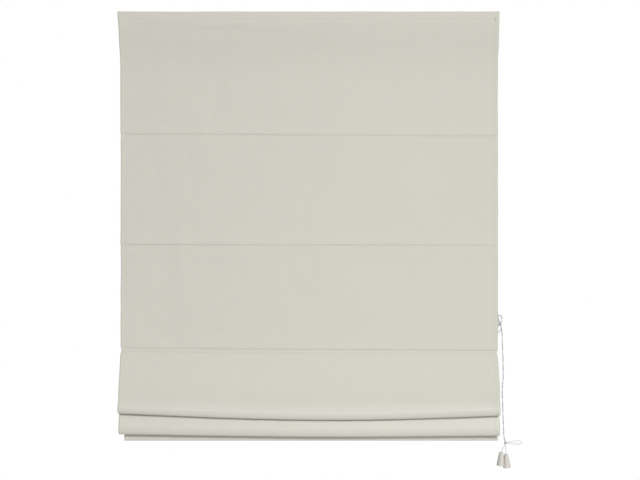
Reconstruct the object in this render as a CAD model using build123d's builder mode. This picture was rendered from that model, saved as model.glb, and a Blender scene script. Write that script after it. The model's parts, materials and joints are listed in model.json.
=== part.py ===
from build123d import *
import math
import os

# Roman blind hung from a clip-on aluminium headrail. Millimetres.
# +X is to the viewer's right, -Y towards the viewer, +Z up.
# The origin lies on the ceiling plane, midway between the screw holes of the two clips.

# ---------------------------------------------------------------- driving dimensions
# Headrail
rail_length = 990.0
rail_depth = 34.0
rail_height = 24.0
rail_wall = 1.5
rail_flange = 2.0  # how far the top flange stands proud of each side wall
rail_slot = 24.0  # open width between the two lips at the bottom

# Clips
clip_spacing = 800.0
clip_width = 26.0
clip_thickness = 1.5
clip_hole_radius = 2.25
clip_head_room = 3.5  # space for the screw head between clip and rail
clip_hook = 3.0

# Hook and loop tape
tape_width = 16.0
tape_thickness = 2.2
tape_drop = 2.0  # from the underside of the flange to the tape

# Fabric
fabric_width = 1000.0
fabric_thickness = 1.0
fabric_top = -0.5
heading_end = -29.0
flat_start = -150.0
hem_height = 30.0
fabric_bottom = -1130.5

# Rods, from the top one down, and what is sewn on with them
rod_heights = [-327.0, -618.5, -894.5, -974.0, -987.5]
rod_diameter = 4.0
rod_length = 980.0
tip_diameter = 5.6
tip_length = 12.0
tip_grip = 8.0  # how far a tip covers its rod
pocket_length = 958.0
pocket_height = 12.0
pocket_wall = 0.4
ring_radius = 4.5
ring_section = 1.6
ring_spacing = 760.0

# Hanging folds: how far each stands in front of the flat fabric, and its lowest point
fold_depths = [40.0, 19.0]
fold_bottoms = [-1068.0, -1113.0]
fold_radii = [8.0, 5.5]

# Bottom bar
bar_length = 968.0
bar_height = 20.0
bar_thickness = 3.0
bar_cap_thickness = 4.4
bar_cap_length = 14.0
bar_cap_wall = 0.6
bar_cap_end = 3.0

# Cords
cord_diameter = 1.4
cord_line = 9.0  # Y of both lift cords behind the fabric
guide_pin_radius = 3.0
lock_lines = [4.0, 8.4]  # Y of the left and the right cord in the lock
pair_offset = 0.9  # half the distance between the two pull cords
cord_rise = 10.0  # of the cords inside the rail, above its lips

# Cord lock
lock_length = 38.0
lock_right = 486.5
lock_width = 31.0
lock_wall = 2.4
lock_pin_x = 478.0
pawl_pin_x = 462.0
pawl_pin_radius = 1.5
pawl_hub_radius = 3.2
pawl_reach = 8.0
pawl_width = 7.4
screw_x = 470.0
screw_z = -24.0
screw_radius = 1.4
screw_length = 8.0
screw_head = 1.8
screw_head_radius = 2.8
pawl_nose_radius = 1.0
pawl_teeth = 4

# End caps and guides
end_cap_plate = 1.5
end_cap_plug = 8.0
guide_length = 20.0
guide_flange = 1.6
guide_cheek = 1.6

# Beads, tie and tassels
bead_diameter = 9.0
bead_height = 10.0
knot_diameter = 4.4
loop_knot_diameter = 7.0
tassel_height = 36.0
tassel_top_diameter = 9.5
tassel_bottom_diameter = 20.0
tassel_lean = 3.6
tassel_rim = 2.0
tassel_bore = 22.0  # from the top to the recess that holds the knot
tassel_recess_radius = 4.6
tie_wire = 1.2
tie_height = 5.0
tie_tail = 38.0

# Clearances
soft_gap = 0.3  # between soft pieces and what they lie against
sewn_gap = 0.2  # left for the thread that holds a sewn piece
slide_gap = 0.1  # round a rod, pin or tip in its hole
running_gap = 0.05  # round the pawl's pin
side_gap = 0.3

# ---------------------------------------------------------------- places that follow
rail_top = -clip_thickness - clip_head_room
rail_bottom = rail_top - rail_height
rail_inner_top = rail_top - rail_wall
rail_lip_top = rail_bottom + rail_wall
rail_half = rail_depth / 2
rail_inner_half = rail_half - rail_wall
flange_half = rail_half + rail_flange

tape_top = rail_inner_top - tape_drop
tape_middle = tape_top - tape_width / 2
hook_tape_y = -rail_half - tape_thickness / 2
loop_tape_y = hook_tape_y - tape_thickness
heading_y = loop_tape_y - tape_thickness / 2 - sewn_gap / 2 - fabric_thickness / 2

pocket_back = cord_line - ring_radius - sewn_gap
pocket_depth = rod_diameter + 2 * slide_gap + 2 * pocket_wall
rod_y = pocket_back - pocket_depth / 2
pocket_front = pocket_back - pocket_depth
fabric_y = pocket_front - soft_gap - fabric_thickness / 2

ring_xs = [-ring_spacing / 2, ring_spacing / 2]
cord_radius = cord_diameter / 2
bend_radius = guide_pin_radius + cord_radius  # of a cord's middle line round a pin
cord_run_z = rail_lip_top + cord_rise  # height of the cords inside the rail
pin_z = cord_run_z - bend_radius
cord_exit_x = lock_pin_x + bend_radius
cord_exit_z = rail_bottom

parts_folder = "parts"
os.makedirs(parts_folder, exist_ok=True)


def save(builder, name):
    """Labels a finished piece and writes its STEP file."""
    builder.part.label = name
    export_step(builder.part, os.path.join(parts_folder, name + ".step"))


def corner_radii(points):
    """Largest arc for each corner of a route: 0.45 of the shorter run over the tangent of half the turn."""
    radii = []
    for before, here, after in zip(points, points[1:], points[2:]):
        run_in = Vector(*here) - Vector(*before)
        run_out = Vector(*after) - Vector(*here)
        half_turn = math.radians(run_in.get_angle(run_out)) / 2
        radii.append(0.45 * min(run_in.length, run_out.length) / math.tan(half_turn))
    return radii


def cord_tube(points, radii, name):
    """A round cord along straight runs joined by tangent arcs."""
    with BuildPart() as tube:
        with BuildLine() as route:
            FilletPolyline(*points, radius=radii)
        path = route.wires()[0]
        with BuildSketch(Plane(origin=path @ 0, z_dir=path % 0)):
            Circle(cord_radius)
        sweep(path=path)
    expected = math.pi * cord_radius**2 * path.length
    shown = [round(r, 1) for r in radii]
    share = tube.part.volume / expected
    print(name, "length", round(path.length, 1), "volume share", round(share, 4), "radii", shown)
    save(tube, name)


# ---------------------------------------------------------------- headrail
with BuildPart() as headrail:
    with BuildSketch(Plane.YZ) as section:
        with Locations((0, rail_top - rail_wall / 2)):
            Rectangle(2 * flange_half, rail_wall)
        with Locations((0, rail_top - rail_height / 2)):
            Rectangle(rail_depth, rail_height)
            Rectangle(rail_depth - 2 * rail_wall, rail_height - 2 * rail_wall, mode=Mode.SUBTRACT)
        with Locations((0, rail_bottom + rail_wall / 2)):
            Rectangle(rail_slot, rail_wall, mode=Mode.SUBTRACT)
    extrude(amount=rail_length / 2, both=True)
    # hole for the screw that holds the cord lock
    with BuildSketch(Plane(origin=(screw_x, rail_half + 1, screw_z), z_dir=(0, -1, 0))):
        Circle(screw_radius + slide_gap)
    extrude(amount=rail_wall + 2, mode=Mode.SUBTRACT)
save(headrail, "headrail")

for side, name in ((-1, "rail_end_cap_left"), (1, "rail_end_cap_right")):
    with BuildPart() as end_cap:
        with BuildSketch(Plane.YZ.offset(side * rail_length / 2)):
            with Locations((0, rail_top - rail_height / 2)):
                RectangleRounded(rail_depth, rail_height, 2.0)
        extrude(amount=side * end_cap_plate)
        with BuildSketch(Plane.YZ.offset(side * rail_length / 2)):
            with Locations((0, (rail_inner_top + rail_lip_top) / 2)):
                Rectangle(rail_depth - 2 * rail_wall - side_gap, rail_height - 2 * rail_wall - side_gap)
                Rectangle(rail_depth - 2 * rail_wall - 5, rail_height - 2 * rail_wall - 5, mode=Mode.SUBTRACT)
        extrude(amount=-side * end_cap_plug)
        fillet(end_cap.faces().sort_by(Axis.X)[-1 if side > 0 else 0].edges(), radius=0.5)
    save(end_cap, name)

with BuildPart() as hook_tape:
    with BuildSketch(Plane.YZ) as section:
        with Locations((hook_tape_y, tape_middle)):
            Rectangle(tape_thickness, tape_width)
    extrude(amount=rail_length / 2, both=True)
save(hook_tape, "hook_tape")

with BuildPart() as loop_tape:
    with BuildSketch(Plane.YZ) as section:
        with Locations((loop_tape_y, tape_middle)):
            Rectangle(tape_thickness, tape_width)
    extrude(amount=rail_length / 2, both=True)
save(loop_tape, "loop_tape")

# ---------------------------------------------------------------- clips that carry the rail
clip_half = flange_half + side_gap + clip_thickness
for side, name in ((-1, "mounting_clip_left"), (1, "mounting_clip_right")):
    with BuildPart() as clip:
        with BuildSketch(Plane.YZ.offset(side * clip_spacing / 2)):
            with Locations((0, -clip_thickness / 2)):
                Rectangle(2 * clip_half, clip_thickness)
            for arm in (-1, 1):
                with Locations((arm * (clip_half - clip_thickness / 2), (rail_inner_top - clip_thickness) / 2)):
                    Rectangle(clip_thickness, clip_thickness - rail_inner_top)
                with Locations((arm * (clip_half - clip_hook / 2), rail_inner_top - clip_thickness / 2)):
                    Rectangle(clip_hook, clip_thickness)
        extrude(amount=clip_width / 2, both=True)
        with Locations((side * clip_spacing / 2, 0, 0)):
            Hole(radius=clip_hole_radius, depth=2 * clip_thickness)
        fillet(clip.edges().filter_by(Axis.X).group_by(Axis.Z)[-1], radius=1.0)
    save(clip, name)

# ---------------------------------------------------------------- cord guides, snapped into the rail's slot
for side, name in ((-1, "cord_guide_left"), (1, "cord_guide_right")):
    guide_x = side * ring_spacing / 2
    pin_x = guide_x + bend_radius
    with BuildPart() as guide:
        with BuildSketch(Plane.XY.offset(rail_bottom)):
            with Locations((guide_x, 0)):
                RectangleRounded(guide_length, rail_slot + 5, 2.0)
        extrude(amount=-guide_flange)
        with BuildSketch(Plane.XY.offset(rail_bottom)):
            with Locations((guide_x, 0)):
                Rectangle(guide_length, rail_slot - side_gap)
        extrude(amount=rail_wall)
        with BuildSketch(Plane.XY.offset(rail_lip_top)):
            with Locations((guide_x, 0)):
                Rectangle(guide_length, rail_slot + 3)
        extrude(amount=guide_flange)
        # two cheeks with a round bar between them, which the cord turns over
        for cheek in (-1, 1):
            cheek_y = cord_line + cheek * (cord_radius + side_gap + guide_cheek / 2)
            with BuildSketch(Plane.XZ.offset(-cheek_y)):
                with Locations((pin_x - 1, (rail_lip_top + cord_run_z) / 2)):
                    Rectangle(guide_length - 4, cord_run_z - rail_lip_top)
            extrude(amount=guide_cheek / 2, both=True)
        with BuildSketch(Plane.XZ.offset(-cord_line)):
            with Locations((pin_x, pin_z)):
                Circle(guide_pin_radius)
        extrude(amount=cord_radius + side_gap + guide_cheek, both=True)
        with Locations((guide_x, cord_line, rail_lip_top)):
            Hole(radius=cord_radius + side_gap, depth=rail_height)
    save(guide, name)

# ---------------------------------------------------------------- cord lock
lock_left = lock_right - lock_length
lock_floor = cord_run_z - cord_radius
lock_top = rail_inner_top - side_gap
lock_inner_top = lock_top - lock_wall
cavity_front = lock_lines[0] - cord_radius - 1.2
cavity_back = lock_lines[1] + cord_radius + 1.2
cavity_middle = (cavity_front + cavity_back) / 2
cavity_width = cavity_back - cavity_front
pawl_pin_z = cord_run_z + cord_radius + pawl_hub_radius + slide_gap

with BuildPart() as lock_housing:
    with BuildSketch(Plane.XZ):
        with Locations(((lock_left + lock_right) / 2, (lock_top + rail_lip_top) / 2)):
            Rectangle(lock_length, lock_top - rail_lip_top)
    extrude(amount=lock_width / 2, both=True)
    # passage for the cords, open towards the rail, and its way out at the bottom
    with BuildSketch(Plane.XZ.offset(-cavity_middle)):
        with Locations(((lock_left + lock_right - lock_wall) / 2, (lock_inner_top + lock_floor - slide_gap) / 2)):
            Rectangle(lock_length - lock_wall, lock_inner_top - lock_floor + slide_gap)
        with Locations(((lock_pin_x - guide_pin_radius - 1 + lock_right - lock_wall) / 2, rail_lip_top + 5)):
            Rectangle(lock_right - lock_wall - lock_pin_x + guide_pin_radius + 1, 2 * cord_run_z - 2 * rail_lip_top)
    extrude(amount=cavity_width / 2, both=True, mode=Mode.SUBTRACT)
    with BuildSketch(Plane.XZ):
        with Locations((lock_pin_x, pin_z)):
            Circle(guide_pin_radius)
        with Locations((pawl_pin_x, pawl_pin_z)):
            Circle(pawl_pin_radius)
    extrude(amount=lock_width / 2, both=True, mode=Mode.SUBTRACT)
    with BuildSketch(Plane(origin=(screw_x, lock_width / 2, screw_z), z_dir=(0, -1, 0))):
        Circle(screw_radius)
    extrude(amount=screw_length - rail_wall, mode=Mode.SUBTRACT)
save(lock_housing, "cord_lock_housing")

with BuildPart() as lock_guide_pin:
    with BuildSketch(Plane.XZ):
        with Locations((lock_pin_x, pin_z)):
            Circle(guide_pin_radius)
    extrude(amount=lock_width / 2, both=True)
save(lock_guide_pin, "cord_lock_guide_pin")

with BuildPart() as pawl_pin:
    with BuildSketch(Plane.XZ):
        with Locations((pawl_pin_x, pawl_pin_z)):
            Circle(pawl_pin_radius)
    extrude(amount=lock_width / 2, both=True)
save(pawl_pin, "cord_lock_pawl_pin")

with BuildPart() as pawl:
    with BuildSketch(Plane.XZ.offset(-cavity_middle)) as pawl_outline:
        with Locations((pawl_pin_x, pawl_pin_z)):
            Circle(pawl_hub_radius)
        with Locations((pawl_pin_x + pawl_reach, pawl_pin_z - pawl_hub_radius + pawl_nose_radius)):
            Circle(pawl_nose_radius)
        make_hull()
        with Locations((pawl_pin_x, pawl_pin_z)):
            Circle(pawl_pin_radius + running_gap, mode=Mode.SUBTRACT)
        # notches between the teeth along the underside of the nose
        for tooth in range(pawl_teeth):
            with Locations((pawl_pin_x + 3.2 + 1.5 * tooth, pawl_pin_z - pawl_hub_radius)):
                Circle(0.35, mode=Mode.SUBTRACT)
    extrude(amount=pawl_width / 2, both=True)
save(pawl, "cord_lock_pawl")

with BuildPart() as lock_screw:
    with BuildSketch(Plane(origin=(screw_x, rail_half, screw_z), z_dir=(0, 1, 0))):
        Circle(screw_head_radius)
    extrude(amount=screw_head)
    fillet(lock_screw.faces().sort_by(Axis.Y)[-1].edges(), radius=0.7)
    with BuildSketch(Plane(origin=(screw_x, rail_half, screw_z), z_dir=(0, -1, 0))):
        Circle(screw_radius)
    extrude(amount=screw_length)
    with BuildSketch(Plane(origin=(screw_x, rail_half + screw_head, screw_z), z_dir=(0, -1, 0))):
        Rectangle(0.7, 3.4)
        Rectangle(3.4, 0.7)
    extrude(amount=1.0, mode=Mode.SUBTRACT)
save(lock_screw, "cord_lock_screw")

# ---------------------------------------------------------------- rods with their pockets, rings and tips
for number, rod_z in enumerate(rod_heights, start=1):
    with BuildPart() as rod:
        with BuildSketch(Plane.YZ):
            with Locations((rod_y, rod_z)):
                Circle(rod_diameter / 2)
        extrude(amount=rod_length / 2, both=True)
    save(rod, f"rod_{number}")

    with BuildPart() as pocket:
        with BuildSketch(Plane.YZ):
            with Locations((rod_y, rod_z)):
                Circle(pocket_depth / 2)
            with Locations((pocket_front + pocket_wall / 2, rod_z)):
                Rectangle(pocket_wall, pocket_height)
            with Locations((rod_y, rod_z)):
                Circle(rod_diameter / 2 + slide_gap, mode=Mode.SUBTRACT)
        extrude(amount=pocket_length / 2, both=True)
    save(pocket, f"rod_{number}_pocket")

    with BuildPart() as rings:
        for ring_x in ring_xs:
            with BuildSketch(Plane(origin=(ring_x, cord_line, rod_z), x_dir=(1, 0, 0), z_dir=(0, -1, 0))):
                with Locations((ring_radius - ring_section / 2, 0)):
                    Circle(ring_section / 2)
            revolve(axis=Axis((ring_x, cord_line, rod_z), (0, 0, 1)))
    save(rings, f"rod_{number}_rings")

    with BuildPart() as tips:
        for side in (-1, 1):
            rod_end = side * rod_length / 2
            with BuildSketch(Plane.YZ.offset(rod_end - side * tip_grip)):
                with Locations((rod_y, rod_z)):
                    Circle(tip_diameter / 2)
            extrude(amount=side * tip_length)
            with BuildSketch(Plane.YZ.offset(rod_end)):
                with Locations((rod_y, rod_z)):
                    Circle(rod_diameter / 2)
            extrude(amount=-side * 2 * tip_grip, mode=Mode.SUBTRACT)
            outer = tips.faces().sort_by(Axis.X)[-1 if side > 0 else 0]
            fillet(outer.edges(), radius=1.4)
    save(tips, f"rod_{number}_tips")

# ---------------------------------------------------------------- fabric
# One sheet seen from the side, from the heading down: flat past three rods, then a fold up to the fourth rod,
# a fold up to the fifth, and the last stretch with the hem round the bottom bar.
front_fold_y = fabric_y - fold_depths[0]
back_fold_y = fabric_y - fold_depths[1]
hem_inner = bar_cap_thickness + 2 * soft_gap + fabric_thickness
hem_bottom = fabric_bottom + fabric_thickness / 2
front_fold_back = front_fold_y + 2 * fold_radii[0]
back_fold_back = back_fold_y + 2 * fold_radii[1]
fabric_line = [
    (heading_y, fabric_top),
    (heading_y, heading_end),
    (fabric_y, flat_start),
    (fabric_y, rod_heights[2] - 8),
    (front_fold_y, rod_heights[2] - 90),
    (front_fold_y, fold_bottoms[0]),
    (front_fold_back, fold_bottoms[0]),
    (front_fold_back, rod_heights[3] - 50),
    (fabric_y - 7, rod_heights[3] + 2),
    (fabric_y, rod_heights[3] + 2),
    (fabric_y - 5, rod_heights[4] - 8),
    (back_fold_y, rod_heights[4] - 50),
    (back_fold_y, fold_bottoms[1]),
    (back_fold_back, fold_bottoms[1]),
    (back_fold_back, rod_heights[4] - 50),
    (fabric_y - 3.4, rod_heights[4] - 5),
    (fabric_y, rod_heights[4] - 5),
    (fabric_y - 2, rod_heights[4] - 60),
    (fabric_y - 2.4, hem_bottom),
    (fabric_y - 2.4 + hem_inner, hem_bottom),
    (fabric_y - 2.4 + hem_inner, hem_bottom + hem_height),
]
fabric_radii = corner_radii([(0, y, z) for y, z in fabric_line])
with BuildPart() as fabric:
    with BuildSketch(Plane.YZ) as section:
        with BuildLine() as side_view:
            FilletPolyline(*fabric_line, radius=[min(r, 60.0) for r in fabric_radii])
        trace(line_width=fabric_thickness)
    extrude(amount=fabric_width / 2, both=True)
print("fabric length", round(side_view.wires()[0].length))
save(fabric, "fabric_panel")

# ---------------------------------------------------------------- bottom bar in the hem
bar_y = fabric_y - 2.4 + hem_inner / 2
bar_z = hem_bottom + fabric_thickness / 2 + soft_gap + bar_cap_wall + bar_height / 2
with BuildPart() as bottom_bar:
    with BuildSketch(Plane.YZ):
        with Locations((bar_y, bar_z)):
            RectangleRounded(bar_thickness, bar_height, 1.0)
    extrude(amount=bar_length / 2, both=True)
save(bottom_bar, "bottom_bar")

for side, name in ((-1, "bottom_bar_cap_left"), (1, "bottom_bar_cap_right")):
    bar_end = side * bar_length / 2
    with BuildPart() as bar_cap:
        with BuildSketch(Plane.YZ.offset(bar_end + side * bar_cap_end)):
            with Locations((bar_y, bar_z)):
                RectangleRounded(bar_cap_thickness, bar_height + 2 * bar_cap_wall, 1.2)
        extrude(amount=-side * bar_cap_length)
        with BuildSketch(Plane.YZ.offset(bar_end)):
            with Locations((bar_y, bar_z)):
                RectangleRounded(bar_thickness, bar_height, 1.0)
        extrude(amount=-side * bar_cap_length, mode=Mode.SUBTRACT)
    save(bar_cap, name)

# ---------------------------------------------------------------- lift cords, from bead to cord lock
last_ring_z = rod_heights[-1]
bead_top = last_ring_z - ring_section / 2 - slide_gap
cord_foot = bead_top - bead_height
for side, name in ((-1, "left"), (1, "right")):
    ring_x = side * ring_spacing / 2
    lock_y = lock_lines[0 if side < 0 else 1]
    lift_route = [
        (ring_x, cord_line, cord_foot),
        (ring_x, cord_line, cord_run_z),
        (cord_exit_x, lock_y, cord_run_z),
        (cord_exit_x, lock_y, cord_exit_z),
    ]
    cord_tube(lift_route, [bend_radius, bend_radius], f"lift_cord_{name}")

    with BuildPart() as bead:
        with BuildSketch(Plane.XZ.offset(-cord_line)):
            with Locations((ring_x + bead_diameter / 4, bead_top - bead_height / 2)):
                Rectangle(bead_diameter / 2, bead_height)
        revolve(axis=Axis((ring_x, cord_line, 0), (0, 0, 1)))
        fillet(bead.edges().filter_by(GeomType.CIRCLE), radius=2.0)
        with Locations((ring_x, cord_line, bead_top)):
            Hole(radius=cord_radius + slide_gap, depth=bead_height)
    save(bead, f"cord_bead_{name}")

    with BuildPart() as end_knot:
        with Locations((ring_x, cord_line, cord_foot - knot_diameter / 2)):
            Sphere(knot_diameter / 2)
        with BuildSketch(Plane.XY.offset(cord_foot)):
            with Locations((ring_x, cord_line)):
                Rectangle(knot_diameter, knot_diameter)
        extrude(amount=-0.4, mode=Mode.SUBTRACT)
        with BuildSketch(Plane.XY.offset(cord_foot)):
            with Locations((ring_x, cord_line)):
                Circle(1.5)
        extrude(amount=-0.6)
    save(end_knot, f"lift_cord_knot_{name}")

# ---------------------------------------------------------------- pull cords
# The middle line of the pair: down behind the fabric's right edge, round the lower and then the upper loop of a
# figure eight, and straight down to the tie. Each cord lies beside it, one in front and one behind.
pair_route = [
    (486.0, 6.4, -140.0),
    (496.0, 9.0, -770.0),
    (500.4, 9.4, -797.0),
    (503.2, 9.4, -813.0),
    (509.0, 9.2, -825.0),
    (509.4, 8.6, -836.0),
    (505.0, 8.0, -844.4),
    (497.8, 7.3, -843.0),
    (497.2, 6.7, -834.2),
    (503.0, 6.0, -826.4),
    (510.4, 5.6, -818.0),
    (511.2, 5.0, -807.0),
    (507.4, 4.6, -799.8),
    (500.2, 4.2, -799.8),
    (498.0, 3.6, -808.0),
    (502.4, 2.8, -818.8),
    (508.4, 2.2, -829.6),
    (510.4, 1.8, -846.0),
    (511.0, 1.6, -870.0),
    (513.0, 1.2, -920.0),
    (513.6, 1.0, -966.0),
    (510.6, 1.4, -990.0),
    (512.0, 1.8, -1040.0),
    (514.2, 2.0, -1098.0),
    (515.4, 2.2, -1122.0),
    (519.0, 2.6, -1136.0),
]
loop_knot_point = (505.6, 6.0, -823.2)
loop_knot_length = 9.6
tie_point = (519.4, 2.7, -1137.6)
tassel_tops = {"left": (508.0, 0.0, -1161.0), "right": (522.4, 9.6, -1168.6)}
tassel_sides = {"left": -1, "right": 1}
lower_routes = {
    "left": [(516.4, 1.8, -1147.0)],
    "right": [(520.8, 6.0, -1149.0)],
}
tassel_entry = 4.0  # from the last bend of a cord to its tassel's top

for name in ("left", "right"):
    side = tassel_sides[name]
    lean = side * math.radians(tassel_lean)
    down = Vector(math.sin(lean), 0, -math.cos(lean))
    top = Vector(*tassel_tops[name])
    lock_y = lock_lines[0 if side < 0 else 1]
    pull_route = [(cord_exit_x, lock_y, cord_exit_z)]
    pull_route += [(x, y + side * pair_offset, z) for x, y, z in pair_route]
    pull_route += lower_routes[name]
    pull_route += [tuple(top - tassel_entry * down), tuple(top + tassel_bore * down)]
    cord_tube(pull_route, corner_radii(pull_route), f"pull_cord_{name}")

    with BuildPart() as tassel:
        with BuildSketch(Plane(origin=top, x_dir=(math.cos(lean), 0, math.sin(lean)), z_dir=(0, -1, 0))):
            with BuildLine():
                bell_side = Spline(
                    (tassel_top_diameter / 2, -1.2),
                    (tassel_bottom_diameter / 2, tassel_rim - tassel_height),
                    tangents=((0.3, -1), (0.12, -1)),
                )
                Polyline(
                    bell_side @ 1,
                    (tassel_bottom_diameter / 2, -tassel_height),
                    (tassel_recess_radius, -tassel_height),
                    (tassel_recess_radius, -tassel_bore),
                    (cord_radius + side_gap, -tassel_bore),
                    (cord_radius + side_gap, 0),
                    (tassel_top_diameter / 2 - 1.2, 0),
                    bell_side @ 0,
                )
            make_face()
        revolve(axis=Axis(top, down))
    save(tassel, f"tassel_{name}")

    with BuildPart() as tassel_knot:
        knot_top = top + tassel_bore * down
        with BuildSketch(Plane(origin=knot_top, z_dir=down)):
            Circle(knot_diameter / 2)
        extrude(amount=knot_diameter)
        fillet(tassel_knot.edges().filter_by(GeomType.CIRCLE), radius=knot_diameter / 2 - 0.6)
    save(tassel_knot, f"tassel_knot_{name}")

with BuildPart() as loop_knot:
    with BuildSketch(Plane(origin=loop_knot_point, z_dir=(0, 1, 0))):
        Circle(loop_knot_diameter / 2)
    extrude(amount=loop_knot_length / 2, both=True)
    fillet(loop_knot.edges().filter_by(GeomType.CIRCLE), radius=2.0)
save(loop_knot, "pull_cord_loop_knot")

# ---------------------------------------------------------------- wire tie round both pull cords
tie_x, tie_y, tie_z = tie_point
tie_collar = 3.4
tie_bow = [
    (tie_x + 2.6, tie_y, tie_z + 0.9),
    (tie_x + 16, tie_y, tie_z + 4.4),
    (tie_x + 36, tie_y, tie_z + 6.2),
    (tie_x + 44, tie_y, tie_z + 3.6),
    (tie_x + 43.6, tie_y, tie_z - 1.6),
    (tie_x + 36, tie_y, tie_z - 4.8),
    (tie_x + 16, tie_y, tie_z - 4.0),
    (tie_x + 2.6, tie_y, tie_z - 0.9),
]
with BuildPart() as cord_tie:
    with BuildSketch(Plane.XY.offset(tie_z - tie_height / 2)):
        with Locations((tie_x, tie_y)):
            Circle(tie_collar)
    extrude(amount=tie_height)
    fillet(cord_tie.edges().filter_by(GeomType.CIRCLE), radius=1.0)
    with BuildLine() as bow:
        FilletPolyline(*tie_bow, radius=corner_radii(tie_bow))
    bow_path = bow.wires()[0]
    with BuildSketch(Plane(origin=bow_path @ 0, z_dir=bow_path % 0)):
        Circle(tie_wire / 2)
    sweep(path=bow_path)
    with BuildSketch(Plane(origin=(tie_x + 2.6, tie_y, tie_z), z_dir=(1, 0, 0))):
        Circle(tie_wire / 2)
    extrude(amount=tie_tail)
save(cord_tie, "cord_tie")
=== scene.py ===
import json
import math

import bmesh
import bpy
import numpy as np
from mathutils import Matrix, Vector


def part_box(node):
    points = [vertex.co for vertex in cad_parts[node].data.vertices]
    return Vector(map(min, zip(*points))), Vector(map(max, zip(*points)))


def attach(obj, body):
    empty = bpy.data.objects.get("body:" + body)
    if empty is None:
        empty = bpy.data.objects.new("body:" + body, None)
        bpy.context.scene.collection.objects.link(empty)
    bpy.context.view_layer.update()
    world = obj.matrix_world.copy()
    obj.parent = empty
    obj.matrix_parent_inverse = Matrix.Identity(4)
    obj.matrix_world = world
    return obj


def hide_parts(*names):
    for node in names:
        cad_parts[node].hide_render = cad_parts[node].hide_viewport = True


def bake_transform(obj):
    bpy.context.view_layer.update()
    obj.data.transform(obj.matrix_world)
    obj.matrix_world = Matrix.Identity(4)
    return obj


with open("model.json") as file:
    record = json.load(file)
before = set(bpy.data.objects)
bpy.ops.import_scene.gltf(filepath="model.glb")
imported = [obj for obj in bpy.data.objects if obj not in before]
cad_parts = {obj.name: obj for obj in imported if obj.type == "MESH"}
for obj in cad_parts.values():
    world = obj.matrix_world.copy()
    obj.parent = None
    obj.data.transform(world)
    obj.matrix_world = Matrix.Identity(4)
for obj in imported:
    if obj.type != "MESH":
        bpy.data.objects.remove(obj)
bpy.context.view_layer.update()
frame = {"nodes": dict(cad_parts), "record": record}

bl_info = {
    "name": "Roman blind",
    "version": (1, 0, 0),
    "blender": (4, 5, 0),
    "location": "3D View > Sidebar > Blind",
    "description": "Builds the cloth, cords, trimmings and finishes of a hanging roman blind",
    "category": "Add Mesh",
}

MM = 0.001

# ------------------------------------------------------------------ places taken from the frame
RODS = (1, 2, 3, 4, 5)
ROD_BODY = {1: "rod_one", 2: "rod_two", 3: "rod_three", 4: "lifted_stack", 5: "lifted_stack"}
HEADRAIL = "headrail"
STACK = "lifted_stack"
PULLED = "pull_cords"
RING_RADIUS = 4.5 * MM


def middle(node):
    """The middle of a CAD node's box, in metres."""
    low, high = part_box(node)
    return (low + high) / 2


ROD_PLACE = {number: middle(f"rod_{number}") for number in RODS}
RING_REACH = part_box("rod_1_rings")[1].x - RING_RADIUS
CORD_LINE = middle("rod_1_rings").y


# ------------------------------------------------------------------ settings
LENGTH = {"subtype": "DISTANCE", "unit": "LENGTH"}
COLOUR = {"subtype": "COLOR", "size": 3, "min": 0.0, "max": 1.0}


class BlindClothSettings(bpy.types.PropertyGroup):
    colour: bpy.props.FloatVectorProperty(
        name="Cloth colour", description="Base colour of the cloth", default=(0.548, 0.533, 0.478), **COLOUR)
    edge_colour: bpy.props.FloatVectorProperty(
        name="Edge colour", description="Colour of the doubled cloth along the side hems",
        default=(0.512, 0.522, 0.440), **COLOUR)
    thickness: bpy.props.FloatProperty(
        name="Thickness", description="Thickness of one layer of cloth", default=0.6 * MM, **LENGTH)
    side_hem: bpy.props.FloatProperty(
        name="Side hem", description="Width turned to the back along each side", default=12 * MM, **LENGTH)
    wrinkles: bpy.props.FloatProperty(
        name="Wrinkles", description="Height of the soft wrinkles in the open cloth",
        default=0.9 * MM, **LENGTH)
    bulge: bpy.props.FloatProperty(
        name="Bulge", description="How far the cloth stands out just above a rod", default=2.2 * MM, **LENGTH)
    weave: bpy.props.FloatProperty(
        name="Weave", description="Distance between two threads of the weave", default=0.9 * MM, **LENGTH)


class BlindSewingSettings(bpy.types.PropertyGroup):
    thread_colour: bpy.props.FloatVectorProperty(
        name="Thread colour", description="Colour of the sewing thread", default=(0.52, 0.50, 0.43), **COLOUR)
    pitch: bpy.props.FloatProperty(
        name="Stitch pitch", description="Distance from one stitch to the next", default=3.2 * MM, **LENGTH)
    stitch: bpy.props.FloatProperty(
        name="Stitch length", description="Length of thread that shows in one stitch",
        default=2.3 * MM, **LENGTH)
    thread: bpy.props.FloatProperty(
        name="Thread", description="Radius of the sewing thread", default=0.22 * MM, **LENGTH)


class BlindCordSettings(bpy.types.PropertyGroup):
    colour: bpy.props.FloatVectorProperty(
        name="Cord colour", description="Colour of the lift and pull cords",
        default=(0.45, 0.45, 0.47), **COLOUR)
    diameter: bpy.props.FloatProperty(
        name="Cord diameter", description="Diameter of each cord", default=1.4 * MM, **LENGTH)
    twist: bpy.props.IntProperty(
        name="Turns", description="Turns of the two pull cords round each other", default=22)
    lay: bpy.props.FloatProperty(
        name="Lay", description="Length along a cord in which its strands go round once",
        default=6.0 * MM, **LENGTH)


class BlindTrimSettings(bpy.types.PropertyGroup):
    tassel_colour: bpy.props.FloatVectorProperty(
        name="Tassel colour", description="Colour of the two tassels", default=(0.56, 0.535, 0.49), **COLOUR)
    plastic_colour: bpy.props.FloatVectorProperty(
        name="Plastic colour", description="Colour of caps, guides, tips and beads",
        default=(0.80, 0.80, 0.77), **COLOUR)
    metal_colour: bpy.props.FloatVectorProperty(
        name="Rail colour", description="Colour of the anodised headrail",
        default=(0.78, 0.79, 0.80), **COLOUR)


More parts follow.
